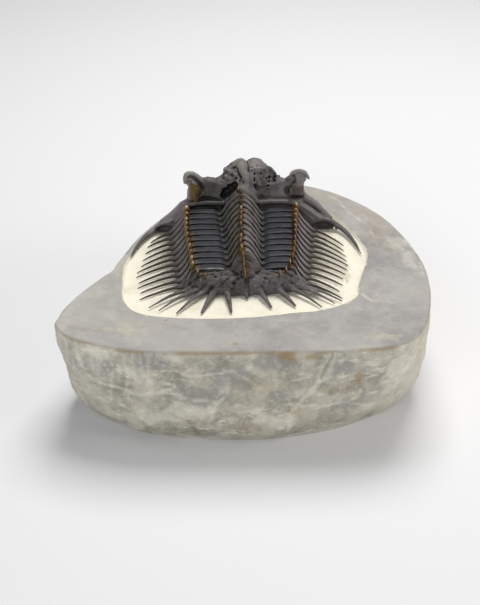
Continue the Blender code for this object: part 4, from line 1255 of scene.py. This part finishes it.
def head_top(x, y):
    """Height of the cheeks and of the saddles over the dish floor, and how far forward the cheeks reach."""
    reach_front = HEAD_DEPTH * np.sqrt(np.clip(1 - (x / np.where(x > 0, 27.0, 25.8)) ** 2, 0.02, 1))
    forward = np.clip((y - HEAD_REAR) / reach_front, 0, 1.2)
    cheek = np.interp(x, CHEEK_X, CHEEK_Z) * np.clip(1 - forward**2.2, 0, 1) ** 0.6
    low = np.interp(x, REAR_EDGE_X, REAR_EDGE_Z)
    slope = np.clip((y - head_rear(x)) / 4.2, 0, 1)
    cheek = low + (cheek - low) * (1 - (1 - slope) ** 1.6)
    crest = np.interp(x, SADDLE_X, SADDLE_Z)
    aside = np.abs(x - HEAD_MIDDLE)
    backwards = np.clip((y - HEAD_REAR - 1.6) / (SADDLE_Y - HEAD_REAR - 1.6), 0, 1) ** 1.7
    behind = np.clip(y - SADDLE_Y, 0, None)
    plateau = crest - 0.35 * np.sin(np.clip(behind / 1.6, 0, 1) * math.pi) - 0.12 * behind
    forwards = np.clip(1 - (behind - SADDLE_THICK) / SADDLE_FALL, 0, 1)
    forwards = forwards * forwards * (3 - 2 * forwards)
    forwards = forwards * (1 - step(aside, 11.0, 15.4) * step(behind, 1.0, 3.5))
    saddle = 8.6 + np.where(y < SADDLE_Y, (crest - 8.6) * backwards, (plateau - 8.6) * forwards)
    inside = (aside < 15.4) & (y > HEAD_REAR + 1.6) & (behind < SADDLE_THICK + SADDLE_FALL)
    return np.where(inside, np.maximum(cheek, saddle), cheek), reach_front


def head_body(x, y, z):
    """Rough distance to the cheeks and saddles."""
    top, reach_front = head_top(x, y)
    front = (y - HEAD_REAR - reach_front) * 0.8
    sides = np.maximum(x - 27.8, -26.2 - x)
    return np.maximum.reduce([
        (z - top) * 0.5, head_rear(x) - y + 0 * z, front + 0 * z, sides + 0 * y + 0 * z])


head = Clay(HEAD_LOW, HEAD_HIGH, HEAD_CELL)
head.press(head_body, (-28, 38, -0.5), (29.5, 62, 20.5), 0.01)
print("head cells:", head.field.size)

# %% The rolled rear edge, its furrow and the neck ring
ROLLS = {
    RIGHT: ((5.4, 0.9, 8.4), (9, 0.45, 8.7), (13, 0.45, 8.7), (16.2, 0.8, 8.5), (18.6, 1.5, 7.9),
            (21.6, 1.2, 6), (23.4, 0.0, 4.7)),
    LEFT: ((5.4, 0.9, 8.3), (9, 0.45, 8.6), (13, 0.45, 8.6), (15.6, 0.7, 8.1), (17.8, 0.9, 6.2),
           (20.2, 0.6, 4.3)),
}
REAR_SLOT = ((5.4, 0.5, 7.3), (9, 0, 7.5), (13, 0, 7.5), (15.4, 0.2, 7))
NECK_HALF = 6.1
for side, roll in ROLLS.items():
    head.bar([(side * x, HEAD_REAR + y, z) for x, y, z in roll], 4, (0.66, 0.4), 0.35)
    slot = [(side * x, HEAD_REAR - 0.1 + y, z) for x, y, z in REAR_SLOT]
    head.limb(slot, 0.6, 0.2, hollow=True)
head.limbs((
    (((-12.6, 44.7, 9.3), (-10.6, 45.1, 9.3), (-9, 45.1, 9.2), (-7.3, 44.8, 8.9), (-5.8, 44.2, 8.6)),
     (0.55, 0.6, 0.6, 0.5, 0.5), 0.25),
    ([(x, HEAD_REAR + 1.75, 9.4) for x in (6.2, 9.5, 13.5)], 0.4, 0.3),
), hollow=True)
neck = [(x, HEAD_REAR + 1.3 + 1.3 * (1 - abs(x) / NECK_HALF), 11.4 - 4.4 * (abs(x) / NECK_HALF) ** 1.25)
        for x in np.linspace(-NECK_HALF, NECK_HALF, 15)]
head.limb(neck, 1.0, 0.3)
print("rolls:", len(ROLLS), "points of the neck ring:", len(neck))

# %% [markdown]
# ## The glabella
# The glabella is the swollen crown between the eyes. Here it is a heap of eggs that melt into each other,
# with a smooth ridge down its middle, a bare face right of it and loose lobes round it. The black hollows
# between them are pressed in one by one, and small warts and pits cover what is left.

# %% The crown, its ridge and its lobes
head.balls((
    (-0.6, 51.8, 9.8, 4.6, 5.6, 8.2), (4.6, 52, 10.2, 5.2, 6, 8.35), (7.2, 51.6, 8.6, 5, 5.4, 7.4),
    (2.5, 54.2, 8.5, 8.4, 6, 7.2), (1.2, 47.6, 8.2, 4.9, 3.8, 5.6), (-2.9, 50.6, 10.4, 2.6, 4.2, 6.3),
), 1.1)
RIDGE = ((0.3, 52.6, 16.4), (0.5, 50.4, 16.6), (0.8, 48.9, 15.9), (1.2, 47.7, 14.8), (1.5, 46.7, 13.2),
         (1.5, 45.7, 11.2))
RIDGE_SIZES = (2.1, 2.15, 1.7, 1.15, 0.75, 0.5)
head.bar(RIDGE, 5, RIDGE_SIZES, 0.3)
# the smooth face right of the ridge, its finger lobe and its right flank
head.ball((3.3, 48.6, 12.6), (2.2, 2.6, 3.8), 0.6)
head.limbs((
    (((4.7, 47.6, 15.2), (5.3, 46.9, 13.9), (5.8, 46.3, 12.7)), (0.5, 0.62, 0.55), 0.25),
    (((8.8, 51.4, 16), (9.9, 51, 15), (10.9, 50.4, 13.8)), (0.6, 0.65, 0.5), 0.3),
))
# lobes left of the ridge and at the neck, then the crust over the right face
head.balls((
    (-4.1, 50, 16.2, 0.85, 0.9, 0.8), (-2.9, 48.6, 15.9, 0.6, 0.7, 0.85), (-2.8, 47.3, 13.6, 0.55, 0.6, 0.9),
    (-4.1, 47.9, 14.6, 0.8, 0.8, 1.2), (-5, 47.7, 12, 1, 1.2, 2), (-0.8, 46.6, 13.6, 0.5, 0.55, 0.8),
    (-0.9, 45.2, 12.3, 0.6, 0.6, 0.8), (7.6, 47.9, 13.4, 0.8, 0.8, 1.1), (9.2, 48.6, 13.2, 0.8, 0.8, 1.2),
    (4.2, 46, 10.9, 0.9, 0.8, 0.9),
), 0.3)
head.limbs((
    (((-1.9, 48.3, 15.6), (-1.2, 47.9, 15.6), (-0.4, 47.3, 14.6)), 0.45, 0.2),
    (((2.9, 48.4, 16.9), (4.6, 48.5, 17.2), (6.4, 48.9, 16.9), (7.6, 49.4, 16.6)), 0.3, 0.2),
))
print("the ridge is widest at:", RIDGE[1], "mm")

# %% Hollows of the glabella
BLACK_HOLLOW = (
    (-1.7, 45.8, 13, 0.8, 1.3, 0.9), (-2.8, 45.8, 12, 1.2, 1.5, 1.1), (-4.1, 45.7, 10.9, 1.3, 1.6, 1.1),
    (-5.1, 45.6, 9.9, 0.8, 1.5, 0.8),
)
head.limbs((
    (((-0.55, 48.9, 17.1), (-0.1, 48, 16), (0.4, 47.1, 14.9)), (0.35, 0.42, 0.3), 0.15),
    (((0.6, 46.6, 14.5), (1, 46.2, 13.7)), 0.3, 0.15),
    (((-2.9, 49.5, 16.9), (-1.8, 49.8, 17), (-1.1, 49.6, 17.1)), 0.4, 0.2),
    (((-2.5, 47.9, 15.6), (-2.2, 47, 14.8)), 0.35, 0.15),
    (((4.3, 46.3, 12.7), (5.3, 45.6, 11.5), (6.4, 45.8, 11.4), (7.6, 46.5, 12.1)), (0.45, 0.6, 0.5, 0.4),
     0.2),
    (((9.9, 48.8, 14.1), (10.4, 48.8, 12.9)), 0.5, 0.15),
), hollow=True)
head.balls((
    (-1.2, 47.2, 14.7, 0.42), (6.4, 47.9, 15.7, 0.6, 0.45, 0.4), (7.2, 47.6, 14.8, 0.35, 0.5, 0.6),
    (7, 46.8, 14, 0.6, 0.5, 0.35), (8.1, 47.7, 14.3, 0.35, 0.5, 0.5), (8.7, 47.6, 13.2, 0.6, 0.6, 0.4),
    (8.1, 48.8, 15.7, 0.65, 0.5, 0.4), (3.4, 48.8, 17.4, 0.7, 0.5, 0.3), (5.3, 49.1, 17.7, 0.7, 0.5, 0.35),
    (4.3, 47.7, 15.7, 0.3, 0.4, 0.55), (9.6, 49.4, 15, 0.4, 0.6, 0.7), (10.6, 49.8, 13.6, 0.4, 0.6, 0.6),
    (8.2, 47.4, 12, 0.7, 0.6, 0.4), (5.9, 48.2, 17, 0.5, 0.5, 0.35), (9, 49.8, 16.2, 0.4, 0.5, 0.4),
    (7.6, 48.3, 13.6, 0.5, 1, 0.7), (8.9, 48.5, 14.1, 0.6, 1, 0.5), (9.6, 48.7, 12.4, 0.7, 1, 0.5),
    (7.8, 48, 11.9, 0.8, 1, 0.4), (4.2, 47, 14.2, 0.3, 0.7, 0.9),
), 0.15, hollow=True)
head.balls(BLACK_HOLLOW, 0.2, hollow=True)
print("deepest hollow in mm:", BLACK_HOLLOW[2][3:])

# %% Warts and pits round the rest of the glabella
WARTS = 240
GOLDEN_TURN = 2.39996
rng = np.random.default_rng(11)
for k in range(WARTS):
    turn = k * GOLDEN_TURN
    lift = 1 - 1.2 * (k + 0.5) / WARTS
    level = math.sqrt(1 - lift**2)
    place = x, y, z = head.touch((2.8, 51.5, 10.0), (level * math.cos(turn), level * math.sin(turn), lift))
    on_ridge = abs(x - 0.7) < 2.2 and y < 53.5
    on_face = y < 49.8 and abs(x - 2.5) < 8.3 or z > 13.5 and y < 56.5
    left_or_low = (x < -2.5 or z < 10.5) and y < 53 or x < 1 and z > 12 and y < 56
    if on_ridge or on_face or left_or_low:
        continue
    size = rng.uniform(0.3, 0.75)
    if rng.uniform() < 0.12:
        head.ball(place, size * 0.8, 0.15, hollow=True)
    else:
        head.ball(place, size, 0.25)
print("last wart at:", [round(float(v), 1) for v in place])

# %% [markdown]
# ## The eyes
# Comura had tall eyes on towers, each under a hood that kept the light from above off the lenses. A tower and
# a dome are eggs, the hood's curled edge is a bar along a measured line, and a thin dark slot is pressed in
# under it. The lens patch is a fat bar that stands in front. The left one is still honey brown.

# %% Eyes under their hoods
def add_eye(lens, arch, arch_sizes, slot, dome, tower):
    """A tall eye: its tower, the hood's dome, the hood's arch, the dark slot under the arch, and its lens."""
    head.balls((tower,), 0.8)
    head.balls((dome, (dome[0] + np.sign(dome[0]) * 0.6, dome[1] - 1.3, dome[2] + 1.7, 2.2, 1.3, 1.25)), 0.5)
    head.bar(arch, 4, arch_sizes, 0.3)
    head.bar(slot, 4, (0.55, 0.55), 0.15, hollow=True)
    head.limb(lens, (2.1, 1.7, 1.05), 0.12)


LEFT_SLOT = ((-11.2, 45.8, 12.2), (-12.3, 45.4, 14), (-13.2, 45.1, 15.3), (-14.1, 45, 16.1), (-15, 45, 16.3))
RIGHT_SLOT = (
    (14.2, 45.8, 11.3), (15.3, 45.6, 12.5), (16.1, 45.3, 13.7), (16.3, 45.1, 14.9), (15.9, 45.2, 15.9),
)
add_eye(lens=((-13.6, 47, 9.4), (-13.8, 47, 11.6), (-14.7, 46.6, 14)),
        arch=((-10.6, 46.4, 13.6), (-11.7, 46, 15), (-12.8, 45.8, 16.3), (-14, 45.7, 17.2),
              (-15.1, 45.6, 17.4), (-16, 45.6, 16.9), (-16.35, 45.7, 15.6), (-16.4, 45.9, 14.3)),
        arch_sizes=(0.45, 0.6, 0.65, 0.65, 0.7, 0.75, 0.75, 0.55),
        slot=LEFT_SLOT, dome=(-13.9, 48.2, 13.7, 2.5, 2.7, 2.2), tower=(-13.6, 48.2, 8.6, 2.4, 3.2, 5.4))
add_eye(lens=((17, 47, 9.4), (17.4, 47, 11.8), (18.4, 46.6, 14.6)),
        arch=((13.9, 46.8, 14.3), (15.2, 46.3, 15.5), (16.2, 45.9, 16.7), (17.4, 45.8, 17.4),
              (18.7, 45.8, 17.1), (19.7, 45.8, 16.2), (20.3, 45.9, 15.1), (20.6, 46, 14.4)),
        arch_sizes=(0.55, 0.6, 0.6, 0.65, 0.65, 0.55, 0.4, 0.15),
        slot=RIGHT_SLOT, dome=(17.4, 48.3, 14.2, 2.7, 2.8, 2.2), tower=(17.2, 48.2, 8.8, 2.3, 3.2, 5.4))
# dark hollows beside the right lens and under its foot, then the fold at the foot of the left one
head.limbs(((((14.3, 46.1, 12.2), (13.9, 45.9, 11), (14.4, 45.4, 10)), (0.5, 0.75, 0.5), 0.2),
            (((14.6, 45.4, 9.6), (16.1, 44.9, 9.3), (18, 44.9, 9.1)), (0.4, 0.4, 0.3), 0.15)), hollow=True)
head.limb(((-13.2, 44.3, 8.9), (-12.5, 44.5, 9.9), (-11, 44.9, 11.1)), (0.5, 0.5, 0.35), 0.25)
head.balls(((-10.3, 45.4, 11.7, 0.4), (-11.5, 46.2, 12.1, 0.45)), 0.15, hollow=True)
print("eyes: 2, slot points:", len(LEFT_SLOT))

# %% Cheek corners, lips and long corner spines
GENAL_SPINES = {
    RIGHT: ((20, 48.6, 2.8), (25.2, 45, 2.2), (30.4, 38, 1.5), (32.9, 31.2, 1.1), (34.2, 24.3, 0.7)),
    LEFT: ((-20, 47.5, 1.9), (-24.2, 42.9, 1.6), (-28.5, 36.8, 1.3), (-31, 31, 1.05), (-32.7, 25.1, 0.7)),
}
CORNER_SIZES = {RIGHT: (1.75, 0.98, 0.54, 0.14), LEFT: (1.4, 0.85, 0.5, 0.14)}
LIPS = {
    RIGHT: ((21.6, 41.6, 3.9), (22.9, 41, 3.9), (24.6, 40.8, 3.85), (26.6, 40.4, 3.6), (27.6, 40, 3.1),
            (28.3, 39.7, 1.8), (28.6, 39.4, 0.9)),
    LEFT: ((-20.4, 41.4, 4.1), (-21.6, 40.8, 3.8), (-23.4, 40.6, 3.4), (-24.7, 40.4, 2.85), (-26, 40.1, 1.9),
           (-26.6, 39.8, 0.9)),
}
for side, route in GENAL_SPINES.items():
    head.bar(route, 8, CORNER_SIZES[side], 0.6, (0, 0.35, 0.75, 1), flat=0.75)
    head.bar(LIPS[side], 5, (0.5, 0.32), 0.3)
# two folds run down the right cheek, from the eye's foot to the lip, with a groove between them
CHEEK_FOLDS = (((18, 42.8, 7.4), (20.1, 42.1, 6.25), (22.2, 41.3, 4.95), (23.7, 40.7, 4.1)),
               ((19.4, 44.6, 9.2), (22.1, 44, 7.7), (24.9, 43.5, 5.4), (27.2, 42, 3.4)))
for fold in CHEEK_FOLDS:
    head.bar(fold, 4, (0.5, 0.5), 0.4)
head.limb(((18.9, 43.7, 8.5), (21.3, 43, 7.1), (23.8, 42.4, 5.4), (25.6, 41.6, 4.3)), 0.45, 0.5, hollow=True)
UNDER_LIPS = ((24.6, 40.3, 1.6, 2.6, 1.9, 1.25), (-23, 40.2, 1.5, 2.2, 1.7, 1.15))
head.balls(UNDER_LIPS, 0.2, hollow=True)
head.flatten(HEAD_LOW, HEAD_HIGH)
points, faces = head.skin()
print("head:", len(points), "points")

# %% [markdown]
# ## Where the head is pale, dark or brown
# The clay itself tells where a place is an edge and where it is a hollow: a ball round it holds little clay
# or much. That paints every pit dark as shade and every ridge lighter, as wear and painted highlight. The rest
# are places that the photograph shows: the pale hoods, the brown lens patch, the black hollows painted as
# shade and the shaded faces of the saddles.

# %% Parts of the head's surface
def near_balls(table):
    """1 inside and on each egg of a table, and 0 a little way off."""
    away = [np.linalg.norm((points - row[:3]) / np.array(row[3:]), axis=1) for row in table]
    return fade(np.min(away, axis=0), 1.2, 1.5)


x, y, z = points.T
full, full_near, full_wide = (head.fullness(points, reached) for reached in (0.9, 0.45, 1.8))
crown = step(z, 9.5, 11.5) * fade(np.abs(x - 2.6), 8.5, 10.0)
ridge_x = np.interp(y, (45, 46.7, 47.7, 48.9, 50.4), (1.5, 1.5, 1.2, 0.8, 0.5))
ridge_half = np.interp(y, (45.5, 47, 49, 50.5), (0.6, 0.9, 1.7, 2.1))
ridge_mask = crown * fade(np.abs(x - ridge_x), ridge_half, ridge_half + 0.7) * fade(y, 53, 54.5)
face = crown * step(x, 1.5, 2.5) * fade(x, 4.0, 5.0) * fade(y, 48.3, 49.3)
rough = 0.04 + 0.14 * crown * (1 - ridge_mask) * (1 - face)
for axis, size, seed in ((2, 1.2, 70), (0, 0.9, 72), (1, 1, 71)):
    points[:, axis] += rough * cloud(points, size, 4, seed=seed) * step(z, 0.6, 1.6)
is_left, is_right = x < 0, x > 0
print("share of the surface on the crown:", round(float((crown > 0.5).mean()), 2))

# %% Lenses, hoods, saddles and folds
lens_x = np.where(is_left, np.interp(z, (8.4, 12, 14.3), (-14.2, -13.4, -14.9)),
                  np.interp(z, (9, 12, 15), (16.6, 17.0, 18.5)))
lens_half = np.where(is_left, np.interp(z, (8.4, 12, 14.3), (1.4, 2.2, 0.4)),
                     np.interp(z, (9, 11.5, 14.5), (2.5, 2.2, 1.1)))
lens = fade(np.abs(x - lens_x), lens_half - 0.1, lens_half + 0.2) * fade(y, 46.8, 47.6)
lens *= step(z, 8.5, 9.2) * fade(z, 14.6, 15.4)
left_lens, right_lens = lens * is_left, lens * is_right
aside = np.abs(x - HEAD_MIDDLE)
hood = step(z, 12.5, 14.5) * step(aside, 12.4, 13.6) * (1 - lens)
saddle_face = fade(y, 47.5, 49.5) * step(aside, 7.5, 8.5) * fade(aside, 12.5, 14)
saddle_face = saddle_face * fade(z, 12.5, 14.0) * is_left
low_left = fade(y, 47.0, 49.0) * (x < -2.5) * (x > -13.5) * fade(z, 10.0, 12.5) * (z > 8.0)
low_left = low_left * (1 - saddle_face)
crust = crown * step(z, 16.2, 16.8) * step(x, 2.4, 3.2)
folds = near_balls([(*place, 0.5, 0.5, 0.5) for fold in CHEEK_FOLDS for place in smooth_line(fold, 6)])
corner = step(np.abs(x), 26.5, 28.5) + step(x, 23.0, 25.5) * fade(z, 4.0, 5.5) * step(y, 42.0, 43.5)
rolled_edge = fade(y, HEAD_REAR + 1.0, HEAD_REAR + 1.6) * (np.abs(x) < 16) * step(z, 7.6, 8.2)
print("points on the lenses:", int((lens > 0.5).sum()))

# %% Hollows of the head
# painted shade: slots, pits and the head's rear face are darkened
slots = np.maximum(step(full, 0.56, 0.72), step(full_wide, 0.55, 0.68) * step(z, 7.6, 8.4))
pits = step(full_near, 0.54, 0.63) * crown
rear = fade(y, HEAD_REAR - 0.5, HEAD_REAR + 0.4) * (np.abs(x) < 16.0) * fade(z, 7.6, 8.2)
eye_slots = [(*place, size, 0.9, size) for path, size in ((LEFT_SLOT, 0.55), (RIGHT_SLOT, 0.4))
             for place in smooth_line(path, 4)]
rear_slots = [(side * x, HEAD_REAR + y, z - 0.1, 0.9, 1.0, 0.55) for side in (LEFT, RIGHT)
              for x, y, z in smooth_line(REAR_SLOT, 6)]
BESIDE_LENS, UNDER_LENS = (13.9, 45.7, 11, 0.7, 0.9, 1), (16.6, 44.9, 9.3, 1.8, 0.5, 0.3)
# painted shade: the black hollows, the caves under the lips, the slots under the hoods and behind the rolled
# edge
black = np.maximum.reduce([
    near_balls(BLACK_HOLLOW), 0.6 * near_balls(UNDER_LIPS), 0.75 * near_balls(eye_slots + [BESIDE_LENS]),
    np.where(is_left, 1.0, 0.7) * near_balls(rear_slots), near_balls([UNDER_LENS]),
])
shade = (0.42 * saddle_face + 0.4 * low_left + 0.25 * crown * step(x, 4.0, 6.0) * fade(z, 15.5, 17.0)
         + 0.15 * rolled_edge + 0.5 * np.clip(corner, 0, 1) * (1 - folds)
         + 0.5 * left_lens * step(x, -13.4, -12.0) + 0.45 * right_lens * fade(z, 11.8, 12.8))
# the hollow mask is painted shade and some mud, plus the shaded places above
hollow = np.maximum(np.maximum.reduce([slots, pits, rear]) * (1 - 0.85 * lens), black) + shade
print("share of the surface in hollows:", round(float((hollow > 0.5).mean()), 2))

# %% Masks of the head, and the piece
masks = {
    "pale": (0.28 * ridge_mask + hood * np.where(x < -14, 0.85, 0.55) + 0.4 * right_lens * step(z, 12.0, 13.0)
             + 0.25 * crust + 0.35 * left_lens * fade(x, -15.3, -14.6)
             + 0.3 * crown * step(cloud(points, 2.0, 3, seed=72), 0, 0.5) * fade(x, 0.5, 3.0)),
    "purple": step(np.abs(x), 9.0, 14.0) * (0.7 - 0.45 * saddle_face) + 0.35 * face + 0.4 * crust,
    "gold": lens * np.where(is_left, step(x, -15.6, -14.6), 0.3 * fade(z, 12.0, 13.0)),
    "hollow": hollow,
    # lighter ridges and folds: wear and painted highlight
    "edge": step(-full_near, -0.47, -0.36) * (0.5 + 0.8 * crown) * (1 - lens) + 0.7 * folds,
    "specked": 0.4 * crown * is_left + 0.5 * right_lens * (z < 12.5),
    "brown": 0.7 * fade(np.abs(x + 0.6), 0.8, 1.5) * (z < 12.6) * (y < 46.5) * (y > 43.5),
}
head_piece = mesh_piece("head_shield_shell", on_stone(points), faces, shell, masks)
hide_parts("head_shield")
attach(head_piece, "root")
neck_blade = standing_spine(-0.7, HEAD_REAR + 2.3, 11.3, 2.1, 0.55)
# orange share, brown up to, painted tip glint, painted shade on the inner side
spine_piece("neck_standing_spine", [(neck_blade, 0.7, 1.2, 0.3, 0)])
print("head triangles:", 2 * len(faces))

# %% [markdown]
# ## The floor
# The stone stands on a plain pale floor, which isn't part of it.

# %% Floor
FLOOR_HALF = 3.0
floor_finish, tree, shader = new_finish("pale_floor")
shader.inputs["Base Color"].default_value = (0.72, 0.72, 0.73, 1)
shader.inputs["Roughness"].default_value = 0.7
corners = [(sx * FLOOR_HALF, sy * FLOOR_HALF, 0) for sx, sy in ((-1, -1), (1, -1), (1, 1), (-1, 1))]
floor = mesh_piece("studio_floor", corners, [[0, 1, 2, 3]], floor_finish)
